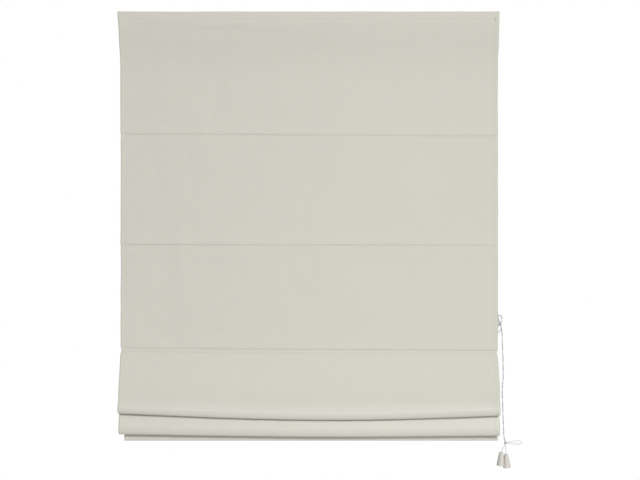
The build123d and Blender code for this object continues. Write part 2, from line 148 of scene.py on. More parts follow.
class BlindStageSettings(bpy.types.PropertyGroup):
    distance: bpy.props.FloatProperty(
        name="Camera distance", description="From the cloth to the camera", default=2.4, **LENGTH)
    lens: bpy.props.FloatProperty(
        name="Lens", description="Focal length of the camera in millimetres", default=50.95)
    eye_x: bpy.props.FloatProperty(
        name="Camera to the right", description="How far right of the blind's middle the camera stands",
        default=0.028, **LENGTH)
    eye_z: bpy.props.FloatProperty(
        name="Camera height", description="Height of the camera in the blind's frame",
        default=-0.600, **LENGTH)
    sky: bpy.props.FloatProperty(
        name="Sky", description="Strength of the even light from all round", default=0.35)
    key: bpy.props.FloatProperty(
        name="Key light", description="Strength of the soft sun above and in front", default=2.25)
    fill: bpy.props.FloatProperty(
        name="Fill light", description="Power of the light at the right", default=21.0)
    behind: bpy.props.FloatProperty(
        name="Light behind", description="Power of the light that shows the back", default=70.0)


# ------------------------------------------------------------------ making meshes
def link(name, mesh):
    """A new object at the origin that holds this mesh."""
    piece = bpy.data.objects.new(name, mesh)
    bpy.context.scene.collection.objects.link(piece)
    return piece


def mesh_piece(name, vertices, faces, uvs=None, smooth=True):
    """A new piece from lists of points and faces. uvs holds one pair for each vertex."""
    mesh = bpy.data.meshes.new(name)
    mesh.from_pydata([tuple(v) for v in vertices], [], [tuple(int(i) for i in f) for f in faces])
    if uvs is not None:
        layer = mesh.uv_layers.new(name="UVMap")
        corners = np.zeros(len(mesh.loops), np.int32)
        mesh.loops.foreach_get("vertex_index", corners)
        layer.data.foreach_set("uv", np.asarray(uvs, np.float32)[corners].ravel())
    mesh.polygons.foreach_set("use_smooth", [smooth] * len(mesh.polygons))
    mesh.update()
    return link(name, mesh)


def dress(piece, material, body=None, nodes=()):
    """Gives a finished piece its material, its body and the CAD nodes it stands for."""
    piece.data.materials.clear()
    piece.data.materials.append(material)
    if body is not None:
        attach(piece, body)
    if nodes:
        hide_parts(*nodes)


def applied(piece):
    """A new mesh of a piece as its modifiers or its curve make it."""
    return bpy.data.meshes.new_from_object(piece.evaluated_get(bpy.context.evaluated_depsgraph_get()))


def solidify(piece, thickness):
    """Gives a surface its thickness, half to each side, and applies it."""
    modifier = piece.modifiers.new("thickness", "SOLIDIFY")
    modifier.thickness = thickness
    modifier.offset = 0.0
    modifier.use_even_offset = False
    mesh = applied(piece)
    piece.modifiers.clear()
    piece.data = mesh


def outward(piece):
    """Turns a closed mesh's faces to point outwards."""
    work = bmesh.new()
    work.from_mesh(piece.data)
    bmesh.ops.recalc_face_normals(work, faces=work.faces)
    work.to_mesh(piece.data)
    work.free()
    return piece


def grid_faces(rows, columns, wrap=False):
    """Quads between rows of points. With wrap the last column joins the first."""
    row = np.arange(rows - 1)[:, None]
    column = np.arange(columns if wrap else columns - 1)[None, :]
    after = (column + 1) % columns
    quads = np.stack([row * columns + column, row * columns + after,
                      (row + 1) * columns + after, (row + 1) * columns + column], -1)
    return quads.reshape(-1, 4)


def tube_faces(rows, around):
    """Quads of a tube whose sections are rows of points, as a list that more faces can be added to."""
    return [list(face) for face in grid_faces(rows, around, wrap=True)]


def nurbs_points(points, resolution):
    """Points along the smooth line of a route, read from its NURBS spline."""
    curve = bpy.data.curves.new("route", "CURVE")
    curve.dimensions = "3D"
    spline = curve.splines.new("NURBS")
    spline.points.add(len(points) - 1)
    for knot, point in zip(spline.points, points):
        knot.co = (*point, 1.0)
    spline.order_u = 3
    spline.use_endpoint_u = True
    spline.resolution_u = resolution
    holder = link("route", curve)
    mesh = applied(holder)
    line = np.array([v.co for v in mesh.vertices], float)
    bpy.data.objects.remove(holder)
    bpy.data.meshes.remove(mesh)
    bpy.data.curves.remove(curve)
    return line


def lengths_along(line):
    """How far each point of a line lies from its start, measured along it."""
    return np.concatenate([[0.0], np.cumsum(np.linalg.norm(np.diff(line, axis=0), axis=1))])


def evenly(line, step):
    """The same line with its points an even step apart."""
    along = lengths_along(line)
    wanted = np.linspace(0.0, along[-1], max(2, int(round(along[-1] / step)) + 1))
    return np.stack([np.interp(wanted, along, line[:, axis]) for axis in range(3)], 1)


def frames_along(line):
    """Tangents and two sideways directions that don't twist along a line."""
    tangents = np.gradient(line, axis=0)
    tangents /= np.linalg.norm(tangents, axis=1, keepdims=True)
    side = np.cross(tangents[0], (0.0, 1.0, 0.0))
    if np.linalg.norm(side) < 0.1:
        side = np.cross(tangents[0], (1.0, 0.0, 0.0))
    sides = []
    for tangent in tangents:
        side = side - tangent * np.dot(side, tangent)
        side = side / np.linalg.norm(side)
        sides.append(side)
    sides = np.array(sides)
    return tangents, sides, np.cross(tangents, sides)


def rope(name, line, radius, lay, strands=3, depth=0.12, around=9):
    """A closed tube along a line, with the shallow turning lobes of laid strands."""
    across, upward = frames_along(line)[1:]
    along = lengths_along(line)
    angle = np.linspace(0.0, 2 * math.pi, around, endpoint=False)[None, :]
    turn = 2 * math.pi * along[:, None] / lay
    reach = radius * (1.0 - depth / 2 + depth / 2 * np.cos(strands * (angle - turn)))
    ring = (line[:, None, :]
            + (reach * np.cos(angle))[:, :, None] * across[:, None, :]
            + (reach * np.sin(angle))[:, :, None] * upward[:, None, :])
    count = len(line)
    vertices = list(ring.reshape(-1, 3)) + [line[0], line[-1]]
    faces = tube_faces(count, around)
    first, last = count * around, count * around + 1
    for i in range(around):
        j = (i + 1) % around
        faces.append([first, j, i])
        faces.append([last, (count - 1) * around + i, (count - 1) * around + j])
    uvs = np.stack([np.broadcast_to(angle / (2 * math.pi), (count, around)),
                    np.broadcast_to(along[:, None], (count, around))], -1).reshape(-1, 2)
    uvs = np.concatenate([uvs, [[0.5, along[0]], [0.5, along[-1]]]])
    return outward(mesh_piece(name, vertices, faces, uvs))


def joined(name, pieces):
    """Several new pieces made into one."""
    work = bmesh.new()
    for piece in pieces:
        work.from_mesh(piece.data)
    mesh = bpy.data.meshes.new(name)
    work.to_mesh(mesh)
    work.free()
    for piece in pieces:
        bpy.data.objects.remove(piece)
    return link(name, mesh)


# ------------------------------------------------------------------ materials
def new_node(tree, kind, inputs=None, **values):
    """A new node. inputs gives its sockets plain values, or other nodes' outputs to be joined to."""
    node = tree.nodes.new(kind)
    for key, value in values.items():
        setattr(node, key, value)
    for key, value in (inputs or {}).items():
        if isinstance(value, bpy.types.NodeSocket):
            tree.links.new(value, node.inputs[key])
        else:
            node.inputs[key].default_value = value
    return node


class Finish:
    """A node material with its shader, and short ways to add to it."""

    def __init__(self, name, colour, roughness, metallic=0.0, sheen=0.0, specular=0.5, coordinates="Object"):
        self.material = bpy.data.materials.new(name)
        self.material.use_nodes = True
        self.tree = self.material.node_tree
        self.shader = self.tree.nodes["Principled BSDF"]
        self.colour = colour
        self.mixed = (*colour, 1.0)
        self.normal = None
        for socket, value in (("Base Color", self.mixed), ("Roughness", roughness), ("Metallic", metallic),
                              ("Specular IOR Level", specular), ("Sheen Weight", sheen)):
            self.shader.inputs[socket].default_value = value
        self.place = self.add("ShaderNodeTexCoord").outputs[coordinates]

    def add(self, kind, inputs=None, **values):
        return new_node(self.tree, kind, inputs, **values)

    def show(self, source, socket):
        """Joins an output to one of the shader's sockets."""
        self.tree.links.new(source, self.shader.inputs[socket])

    def noise(self, scale, detail=3.0):
        """Cloudy noise in coordinates scaled by one number, or by a different one along each axis."""
        scale = scale if isinstance(scale, tuple) else (scale,) * 3
        stretched = self.add("ShaderNodeMapping", {"Scale": scale, "Vector": self.place}).outputs["Vector"]
        return self.add("ShaderNodeTexNoise", {"Scale": 1.0, "Detail": detail, "Roughness": 0.55,
                                               "Vector": stretched}).outputs["Fac"]

    def waves(self, pitch, direction):
        """Ridges at a pitch in metres, across one of the coordinates."""
        return self.add("ShaderNodeTexWave", {"Scale": 2 * math.pi / (20.0 * pitch), "Vector": self.place},
                        wave_type="BANDS", bands_direction=direction).outputs["Fac"]

    def calculate(self, operation, first, second):
        return self.add("ShaderNodeMath", {0: first, 1: second}, operation=operation).outputs["Value"]

    def times(self, first, second):
        return self.calculate("MULTIPLY", first, second)

    def ramp(self, factor, low=0.0, high=1.0, start=0.0, end=1.0):
        """The factor's stretch from low to high, made to run from start to end."""
        inputs = {"Value": factor, "From Min": low, "From Max": high, "To Min": start, "To Max": end}
        return self.add("ShaderNodeMapRange", inputs, clamp=True).outputs["Result"]

    def tint(self, factor, other):
        """Mixes another colour in by a factor, over what is there."""
        self.mixed = self.add("ShaderNodeMix", {0: factor, 6: self.mixed, 7: (*other, 1.0)},
                              data_type="RGBA").outputs[2]
        self.show(self.mixed, "Base Color")

    def shade(self, factor, amount):
        """Mixes in the finish's own colour, made lighter or darker."""
        self.tint(factor, tuple(min(1.0, c * amount) for c in self.colour))

    def rough(self, factor, low, high):
        self.show(self.ramp(factor, start=low, end=high), "Roughness")

    def bump(self, height, distance, strength):
        """Raises the surface by a height, over what is raised already."""
        inputs = {"Strength": strength, "Distance": distance, "Height": height}
        if self.normal is not None:
            inputs["Normal"] = self.normal
        self.normal = self.add("ShaderNodeBump", inputs).outputs["Normal"]
        self.show(self.normal, "Normal")


def cloth_finish(name, colour, edge_colour, weave, pressed):
    """Plain weave that follows the cloth's own UV map, whose units are metres of flat cloth."""
    cloth = Finish(name, colour, 0.54, sheen=0.1, coordinates="UV")
    flat = cloth.add("ShaderNodeSeparateXYZ", {"Vector": cloth.place}).outputs
    # uneven dye; painted shade that makes the left side darker, as if lit from the right; and faint upright
    # streaks of painted wrinkle shade that are stronger there
    patches = cloth.ramp(cloth.noise((3.0, 2.2, 1.0)), 0.3, 0.75)
    # painted shade of upright wrinkles, faint everywhere and stronger on the left
    painted_wrinkle_streaks = cloth.ramp(cloth.noise((21.0, 5.5, 1.0), detail=4.0), 0.45, 0.78)
    left = cloth.ramp(cloth.times(flat["X"], -1.0), -0.10, 0.42)
    cloth.shade(cloth.times(patches, 0.6), 0.965)
    # painted shade: the left side of the cloth darker
    cloth.shade(left, 0.945)
    cloth.shade(cloth.times(painted_wrinkle_streaks, cloth.calculate("ADD", cloth.times(left, 0.65), 0.12)), 0.93)
    # the doubled side hems
    away = cloth.calculate("ABSOLUTE", flat["X"], 0.0)
    cloth.tint(cloth.times(cloth.ramp(away, 0.486, 0.4885), 0.55), edge_colour)
    # threads of slightly different colour
    slubs = cloth.times(cloth.noise((900.0, 35.0, 1.0), detail=2.0),
                        cloth.noise((35.0, 900.0, 1.0), detail=2.0))
    cloth.shade(cloth.ramp(slubs, 0.2, 0.5), 1.03)
    # the cloth has more lustre where it is pressed on the fronts of the folds
    down = cloth.times(flat["Y"], -1.0)
    smooth = 0.0
    for start, end in pressed:
        upper = cloth.ramp(down, start - PRESSED_FADE, start + PRESSED_FADE)
        lower = cloth.ramp(down, end + PRESSED_FADE, end - PRESSED_FADE)
        smooth = cloth.calculate("MAXIMUM", cloth.times(upper, lower), smooth)
    cloth.rough(smooth, 0.80, 0.42)
    cloth.bump(cloth.times(cloth.waves(weave, "X"), cloth.waves(weave, "Y")), 0.12 * MM, 0.8)
    cloth.bump(slubs, 0.25 * MM, 0.6)
    return cloth.material


def thread_finish(colour):
    thread = Finish("sewing_thread", colour, 0.75, sheen=0.2)
    fibre = thread.noise(2600.0, detail=2.0)
    thread.shade(thread.ramp(fibre, 0.35, 0.7), 0.86)
    thread.bump(fibre, 0.06 * MM, 0.8)
    return thread.material


def cord_finish(name, colour):
    """Braided polyester: crossing strands along the cord's own UV map, which runs once round it."""
    cord = Finish(name, colour, 0.7, sheen=0.25, coordinates="UV")
    braid = cord.times(cord.waves(1.6 * MM, "Y"), cord.waves(0.33, "X"))
    cord.shade(cord.times(cord.ramp(braid, 0.15, 0.75), 0.5), 0.80)
    cord.rough(cord.noise((6.0, 900.0, 1.0), detail=2.0), 0.62, 0.8)
    cord.bump(braid, 0.12 * MM, 0.8)
    return cord.material


def tape_finish(name, colour, rib):
    """Woven tape with fine ribs across it."""
    tape = Finish(name, colour, 0.88, sheen=0.15)
    slub = tape.noise((60.0, 600.0, 600.0), detail=2.0)
    tape.shade(tape.ramp(slub, 0.3, 0.7), 0.92)
    tape.rough(slub, 0.82, 0.95)
    tape.bump(tape.times(tape.waves(rib, "X"), tape.waves(rib * 1.4, "Z")), 0.18 * MM, 0.8)
    tape.bump(slub, 0.15 * MM, 0.5)
    return tape.material


def plastic_finish(name, colour, roughness, grain=900.0, coat=0.0):
    """Moulded plastic with a fine grain and slightly worn sheen."""
    plastic = Finish(name, colour, roughness)
    plastic.shader.inputs["Coat Weight"].default_value = coat
    cloud = plastic.noise(38.0)
    plastic.shade(plastic.ramp(cloud, 0.35, 0.75), 0.95)
    plastic.rough(cloud, roughness - 0.06, roughness + 0.1)
    plastic.bump(plastic.noise(grain, detail=2.0), 0.03 * MM, 0.6)
    return plastic.material


def drawn_finish(name, colour, roughness, along, metallic=1.0):
    """Fine lines drawn along metal or fibre. along scales the noise less in the drawn direction."""
    drawn = Finish(name, colour, roughness, metallic=metallic)
    lines = drawn.noise(along, detail=4.0)
    cloud = drawn.noise((9.0, 30.0, 30.0), detail=2.0)
    drawn.shade(drawn.ramp(lines, 0.3, 0.75), 0.86)
    drawn.rough(drawn.calculate("ADD", drawn.times(lines, 0.7), drawn.times(cloud, 0.3)),
                roughness - 0.08, roughness + 0.12)
    drawn.bump(lines, 0.02 * MM, 0.5)
    return drawn.material


def painted_finish(name, colour, roughness):
    """Smooth enamel over steel, with a faint orange-peel surface."""
    paint = Finish(name, colour, roughness)
    cloud = paint.noise((14.0, 60.0, 60.0))
    paint.shade(paint.ramp(cloud, 0.4, 0.8), 0.95)
    paint.rough(cloud, roughness - 0.05, roughness + 0.1)
    paint.bump(paint.noise(420.0, detail=1.0), 0.03 * MM, 0.5)
    return paint.material


# ------------------------------------------------------------------ the cloth's shape
def smooth_noise(x, z, cells_x, cells_z, seed):
    """Soft random hills between -1 and 1 on a fixed grid, for x from -0.5 to 0.5 and z from 0 to 1."""
    table = np.random.default_rng(seed).uniform(-1.0, 1.0, (cells_z + 3, cells_x + 3))
    across = (x + 0.5) * cells_x
    down = np.clip(z, 0.0, 1.0) * cells_z
    i = np.clip(np.floor(across).astype(int), 0, cells_x)
    j = np.clip(np.floor(down).astype(int), 0, cells_z)
    u = np.clip(across - i, 0.0, 1.0)
    v = np.clip(down - j, 0.0, 1.0)
    u = u * u * (3 - 2 * u)
    v = v * v * (3 - 2 * v)
    top = table[j, i] * (1 - u) + table[j, i + 1] * u
    low = table[j + 1, i] * (1 - u) + table[j + 1, i + 1] * u
    return top * (1 - v) + low * v


def ripple(x, cells, seed, place=0.5):
    """Soft random hills that change across the width only."""
    return smooth_noise(x, 0 * x + place, cells, 1, seed)


def bell(distance, width, power=2):
    """1 at no distance, fading to 0 beyond a width."""
    return np.exp(-(distance / width) ** power)


def rising(value, start, run):
    """0 up to start, then straight up to 1 over a run. A negative run counts towards lower values."""
    return np.clip((value - start) / run, 0, 1)


def swell(distance, run):
    """0 at no distance, 1 at a run, and fading slowly beyond it."""
    far = np.clip(distance, 0, None) / run
    return far * np.exp(1 - far)


def spline_basis(count, values):
    """Weights of a quadratic spline with its ends on its first and last control points."""
    degree = 2
    inner = np.arange(1, count - degree)
    knots = np.concatenate([np.zeros(degree + 1), inner, np.full(degree + 1, count - degree)]).astype(float)
    t = np.clip(values * (count - degree), 0.0, count - degree - 1e-9)[:, None]
    basis = ((t >= knots[None, :-1]) & (t < knots[None, 1:])).astype(float)
    for level in range(1, degree + 1):
        width_a = knots[level:-1] - knots[:-level - 1]
        width_b = knots[level + 1:] - knots[1:-level]
        part_a = np.where(width_a > 0, (t - knots[:-level - 1]) / np.where(width_a > 0, width_a, 1), 0)
        part_b = np.where(width_b > 0, (knots[level + 1:] - t) / np.where(width_b > 0, width_b, 1), 0)
        basis = part_a * basis[:, :-1] + part_b * basis[:, 1:]
    return basis


# The cloth seen from the side: Y, Z in millimetres, then how far the point rises with the sag of the front
# fold and of the back fold towards the sides.
CLOTH_SIDE = np.array([
    (-21.75, -24, 0, 0), (-21.75, -12, 0, 0), (-21.75, -2.2, 0, 0), (-21.9, -0.5, 0, 0), (-22.5, -0.5, 0, 0),
    (-22.6, -3.4, 0, 0), (-22.5, -14, 0, 0), (-22.5, -22, 0, 0), (-22.3, -32, 0, 0), (-17.5, -62, 0, 0),
    (-8.0, -112, 0, 0), (-3.4, -150, 0, 0), (-2.4, -190, 0, 0), (-2.3, -260, 0, 0), (-2.3, -317, 0, 0),
    (-2.3, -337, 0, 0), (-2.3, -450, 0, 0), (-2.3, -540, 0, 0), (-2.3, -608, 0, 0), (-2.3, -628, 0, 0),
    (-2.3, -720, 0, 0), (-2.3, -820, 0, 0), (-2.3, -882, 0, 0), (-2.3, -901, 0, 0),
    (-4.5, -910, 0, 0), (-10.5, -928, 0.05, 0), (-18.0, -950, 0.15, 0), (-24.0, -974, 0.3, 0),
    (-27.5, -998, 0.5, 0), (-29.0, -1018, 0.75, 0), (-30.2, -1032, 0.9, 0), (-34.0, -1041.5, 1, 0),
    (-38.8, -1050, 1, 0), (-40.4, -1059, 1, 0), (-37.4, -1068.0, 1, 0), (-31.6, -1070.6, 1, 0),
    (-27.8, -1064, 1, 0), (-26.2, -1046, 0.9, 0), (-23.0, -1015, 0.4, 0), (-16.0, -985, 0.1, 0),
    (-9.4, -965, 0, 0), (-6.0, -958.5, 0, 0), (-2.8, -959, 0, 0), (-2.3, -966, 0, 0), (-2.3, -976.5, 0, 0),
    (-3.9, -980.4, 0, 0), (-8.6, -986, 0, 0), (-14.0, -1000, 0, 0.05), (-17.0, -1030, 0, 0.2),
    (-18.6, -1056, 0.2, 0.4), (-22.2, -1073, 0.4, 0.5), (-26.8, -1088, 0.1, 0.9), (-30.4, -1102, 0, 1),
    (-27.4, -1114.2, 0, 1), (-19.6, -1117.4, 0, 1), (-13.8, -1110, 0, 1), (-11.0, -1094, 0, 0.9),
    (-9.0, -1040, 0, 0.3), (-7.2, -1002, 0, 0), (-5.9, -985, 0, 0), (-4.2, -981.2, 0, 0), (-2.5, -983, 0, 0),
    (-2.3, -988, 0, 0), (-2.5, -997, 0, 0), (-3.8, -1040, 0, 0), (-4.5, -1094, 0, 0), (-4.9, -1122, 0, 0),
    (-4.4, -1129.6, 0, 0), (-1.6, -1131.0, 0, 0), (1.4, -1129.4, 0, 0), (2.2, -1121, 0, 0),
    (2.2, -1109, 0, 0), (0.2, -1103, 0, 0), (-3.4, -1101.2, 0, 0), (-3.6, -1097.5, 0, 0)])
# Some of its control points, by their places in the list
HEADING_TOP, FLAT_TOP, HEADING_LOW = 5, 6, 7
FLAT_FOOT, FLAT_PAST = 24, 25
HEM_TOP, FOLD_END, HEM_LOW = 61, 63, 65

# How far the two folds' lowest points rise from the middle: x in metres, rise in millimetres
FRONT_SAG = ((-0.500, 17.5), (-0.454, 14.5), (-0.233, 6.3), (-0.024, 0.3), (0.100, 0.0), (0.236, 2.6),
             (0.445, 8.6), (0.500, 11.5))
BACK_SAG = ((-0.500, 6.6), (-0.233, 2.6), (0.030, 0.0), (0.300, 1.0), (0.500, 2.6))

# All that follows is in millimetres, but for places across the width, which are in metres.
CREASES = (1, 2, 3)
# How far each of the three upper creases rises above its rod at the left, in the middle and at the right
CREASE_TILT = {1: (2.6, 0.0, -2.6), 2: (0.8, 0.0, -0.8), 3: (3.4, -1.6, -3.4)}
# How far the side edges are drawn in at each crease
CREASE_WAIST = {1: 0.8, 2: 0.8, 3: 2.6}
# From a rod's middle to each row of stitches that holds its pocket, and how deep the upper and lower row sink
STITCH_ROWS = {1: 3.5, 2: 3.6, 3: 5.0, 4: 4.6, 5: 4.6}
STITCH_DEPTH = {1: (0.34, 0.26), 2: (0.80, 0.22), 3: (0.72, 0.62)}
# How much of that depth is lost towards the right
STITCH_FADE = {1: 0.6, 2: 0.3, 3: 0.0}
# Where the rods' tips start, and how far the cloth stands clear of them
TIP_START = 0.474
TIP_CLEARANCE = 0.7
# The smooth fronts of the two folds, as places in the list, and how softly they end, in metres
PRESSED_FRONTS = ((30.4, 32.7), (49.8, 52.4))
PRESSED_FADE = 0.006
# How far the upper left corner stands out beyond the side
TOP_FLARE = 4.0
# How far the last stretch hangs to the right, at the left edge and at the right edge
HEM_SHIFT = (10.5, -0.8)
HEADING_STITCH = -21.0
HEM_STITCH = -1099.6
HEM_EDGE = -1127.0
OPEN_FOOT = -900.0
PANEL_HEIGHT = 1130.0


def bent(table, x):
    """A smooth line through a few heights across the width, as its best quartic."""
    xs, heights = np.array(table).T
    return np.polyval(np.polyfit(xs, heights, 4), x)


def crease_rise(number, x):
    return np.polyval(np.polyfit((-0.5, 0.0, 0.5), CREASE_TILT[number], 2), x)


def crease_level(number, x):
    """The height of a crease across the width."""
    return ROD_PLACE[number].z / MM + crease_rise(number, x)


def share_at_index(index):
    """The share of the cloth's length near one of its control points."""
    return (index - 0.5) / (len(CLOTH_SIDE) - 2)


def share_at(height):
    """The share of the cloth's length at a height on the flat part."""
    values = np.linspace(share_at_index(FLAT_TOP), share_at_index(FLAT_FOOT), 400)
    heights = spline_basis(len(CLOTH_SIDE), values) @ CLOTH_SIDE[:, 1]
    return float(np.interp(-height, -heights, values))


def add_pockets(forward, wide, z, bulge):
    """Stands the cloth out above each sewn pocket and sinks the pocket's stitches in it."""
    for number in CREASES:
        above = z - crease_level(number, wide)
        reach = STITCH_ROWS[number]
        # the cloth rests on the rod's upper side and stands out a little above it
        forward += bulge * swell(above - reach, 7.5) * (0.75 + 0.25 * ripple(wide, 9, 40 + number))
        forward += 0.25 * bulge * swell(-above - reach, 9.0)
        firm = 0.78 + 0.62 * ripple(wide, 17, 50 + number)
        # beyond the pocket the cloth clears the rod's tips
        past = rising(np.abs(wide), TIP_START, 0.012)
        free = 1.0 - 0.6 * past - STITCH_FADE[number] * rising(wide, -0.15, 0.4)
        forward += TIP_CLEARANCE * past * bell(above, 7.0)
        waver = 0.5 * ripple(wide, 26, 70 + number)
        for row, depth in zip((reach, -reach), STITCH_DEPTH[number]):
            forward -= depth * firm * free * bell(above - row - waver, 1.4)
        # small puckers where the stitches draw the cloth together
        pucker = smooth_noise(wide, (above + 30) / 60, 64, 2, 60 + number)
        forward += 0.55 * bell(np.abs(above), 22.0, 1.5) * pucker


def add_wrinkles(forward, wide, z, share, open_cloth, wrinkles):
    """Adds the wrinkles of the open cloth, which are stronger towards the left."""
    down = -z / PANEL_HEIGHT
    left = rising(wide, 0.12, -0.45)
    ridges = smooth_noise(wide, down, 24, 13, 11) + 0.5 * smooth_noise(wide, down, 47, 25, 12)
    broad = smooth_noise(wide, down, 7, 5, 13)
    forward += wrinkles * open_cloth * ((0.30 + 0.70 * left) * ridges + 1.3 * broad)
    # short slanting wrinkles below the heading and in the lower left of the open cloth
    slant = down + 0.05 * wide
    drag = bell(z + 44.0, 26.0) * (share > share_at_index(HEADING_LOW))
    forward += 1.1 * drag * (0.2 + 0.8 * left) * smooth_noise(wide, 8 * slant % 1.0, 13, 12, 81)
    lower = rising(down, 0.45, 0.3)
    forward += 1.5 * lower * left * open_cloth * smooth_noise(wide, slant, 17, 27, 82)


def add_hanging_waves(forward, wide, y, share):
    """Lets the folds hang in slow waves."""
    hang = rising(share, share_at(OPEN_FOOT), 0.04) * rising(share, share_at_index(FOLD_END), -0.01)
    free = rising(-y, 6, 18)
    forward += hang * 0.9 * ripple(wide, 8, 21, 0.3) * free
    forward += hang * 0.5 * smooth_noise(wide, share * 3 % 1, 34, 5, 22) * free


def add_pressed_lines(forward, wide, y, z, share, open_cloth, side_hem):
    """Sinks the stitched line of the heading, the hem's lower edge and the side hems' stitches."""
    heading = (share > share_at_index(HEADING_TOP)) & (share < share_at(-40.0))
    forward -= 0.3 * bell(z - HEADING_STITCH, 1.6) * heading
    forward -= 1.1 * bell(z - HEM_EDGE, 1.3) * ((share > share_at_index(HEM_TOP)) & (y < -3.0))
    forward -= 0.25 * bell(np.abs(wide) * 1000 - (500.0 - side_hem + 1.2), 1.4) * open_cloth


def shifted_across(wide, z, lifted_z, share):
    """Places across the width, in millimetres: drawn in at the creases, uneven along the edges, flared at the
    upper left and, in the last stretch, hanging a little to the right."""
    across = wide * 997.4 - 0.3
    side = np.sign(wide)
    edge = rising(np.abs(wide), 0.40, 0.10) ** 2
    for number in CREASES:
        waist = edge * CREASE_WAIST[number] * bell(lifted_z - crease_level(number, wide), 7.0)
        across -= side * waist * (share < share_at_index(FLAT_PAST))
    across += side * edge * 0.7 * smooth_noise(0.45 * side, -z / PANEL_HEIGHT, 2, 26, 31)
    flare = (-wide.clip(max=0) / 0.5) ** 4 * bell(np.clip(-lifted_z, 0, None), 75.0, 1.3)
    across -= TOP_FLARE * flare
    last = rising(share, share_at_index(HEM_TOP), share_at_index(HEM_LOW) - share_at_index(HEM_TOP))
    left, right = HEM_SHIFT
    out = np.abs(wide) / 0.5
    return across + last * np.where(wide < 0, left * out ** 1.5, right * out)


def cloth_points(x, share, settings):
    """Where the cloth's middle surface lies, in millimetres, for x in metres and a share of its length."""
    share = share[:, None]
    y, z, rise_front, rise_back = ((spline_basis(len(CLOTH_SIDE), share[:, 0]) @ CLOTH_SIDE).T)[:, :, None]
    y = y + 0 * x
    z = z + rise_front * bent(FRONT_SAG, x) + rise_back * bent(BACK_SAG, x)
    wide = x + 0 * z
    # how much of a point belongs to the flat part above the folds
    flat = rising(share, share_at(OPEN_FOOT), share_at(-877.0) - share_at(OPEN_FOOT))
    below_heading = rising(share, share_at(-60.0), share_at(-130.0) - share_at(-60.0))
    open_cloth = flat * below_heading
    forward = np.zeros_like(z)
    add_pockets(forward, wide, z, settings.bulge / MM)
    add_wrinkles(forward, wide, z, share, open_cloth, settings.wrinkles / MM)
    add_hanging_waves(forward, wide, y, share)
    add_pressed_lines(forward, wide, y, z, share, open_cloth, settings.side_hem / MM)
    # the upper edge isn't quite straight
    lifted_z = z - 0.45 * (1 + ripple(wide, 11, 33)) * rising(z, -9.0, 8.0)
    return shifted_across(wide, z, lifted_z, share), y - forward, lifted_z


def cloth_rows():
    """Shares of the length at which the cloth has a row of points: closer where it bends or is sewn."""
    values = np.linspace(0, 1, 12001)
    y, z = (spline_basis(len(CLOTH_SIDE), values) @ CLOTH_SIDE[:, :2]).T
    runs = np.hypot(np.diff(y), np.diff(z))
    turns = np.abs(np.diff(np.unwrap(np.arctan2(np.diff(y), np.diff(z)))))
    curved = np.convolve(np.append(turns, 0) / np.maximum(runs, 1e-6), np.ones(25) / 25, "same")
    spacing = 1.0 / (1 / 7.5 + np.clip(curved, 0, 0.5) * 2.6)
    height = (z[1:] + z[:-1]) / 2
    on_flat = values[1:] < share_at(OPEN_FOOT)
    closer = [(np.abs(height - HEADING_STITCH) < 4, 1.2), (on_flat & (height > -92), 3.2)]
    for number in CREASES:
        near = np.abs(height - ROD_PLACE[number].z / MM)
        closer += [(near < 10, 1.15), ((near >= 10) & (near < 34) & on_flat, 3.0)]
    for where, most in closer:
        spacing = np.where(where, np.minimum(spacing, most), spacing)
    spacing = np.minimum(spacing, np.where(values[1:] > share_at(-897.0), 4.0, 9.0))
    spacing = np.maximum(spacing, 0.62)
    amount = np.concatenate([[0], np.cumsum(runs / spacing)])
    return np.interp(np.linspace(0, amount[-1], int(amount[-1]) + 1), amount, values)


def cloth_columns(settings):
    """Places across the width, in metres, and how far behind the front layer each lies, in layers."""
    inside = np.concatenate([np.arange(-0.4845, -0.10, 0.0100), np.arange(-0.10, 0.4845, 0.0132)])
    seam = [-0.4985, -0.4945, -0.4905, -0.4890, -0.4875, -0.4860]
    back = [(-0.500 + settings.side_hem, 1.0), (-0.4925, 1.0), (-0.4985, 0.98), (-0.49985, 0.5)]
    front = [(x, 0.0) for x in (*seam, *inside, *(-x for x in seam[::-1]))]
    return back + front + [(-x, layer) for x, layer in back[::-1]]


def cloth_surface(share, columns, settings):
    """Rows and columns of points on the cloth, in metres, with their directions to the back."""
    x, layer = np.array(columns).T
    points = np.stack(cloth_points(x, share, settings), -1)
    along = np.gradient(points, axis=0)
    # the way to the cloth's back is square to its run in the side view
    toward = np.stack([0 * along[:, :, 0], -along[:, :, 2], along[:, :, 1]], -1)
    toward /= np.maximum(np.linalg.norm(toward, axis=2, keepdims=True), 1e-9)
    apart = settings.thickness / MM * 1.25
    return (points + toward * (layer * apart)[None, :, None]) * MM, toward


def build_cloth(settings):
    """The cloth as a surface, with its length and the pressed stretches of it, in metres down its middle."""
    share = cloth_rows()
    columns = cloth_columns(settings)
    points = cloth_surface(share, columns, settings)[0]
    x, layer = np.array(columns).T
    down = lengths_along(points[:, int(np.argmin(np.abs(x)))])
    flat_x = np.where(layer > 0, np.sign(x) * (1.0 - np.abs(x)), x)
    uvs = np.stack(np.broadcast_arrays(flat_x[None, :], -down[:, None]), -1).reshape(-1, 2)
    faces = grid_faces(len(share), len(columns))[:, ::-1]
    piece = mesh_piece("blind_cloth", points.reshape(-1, 3), faces, uvs)
    pressed = [[float(np.interp(share_at_index(index), share, down)) for index in band]
               for band in PRESSED_FRONTS]
    return piece, float(down[-1]), pressed


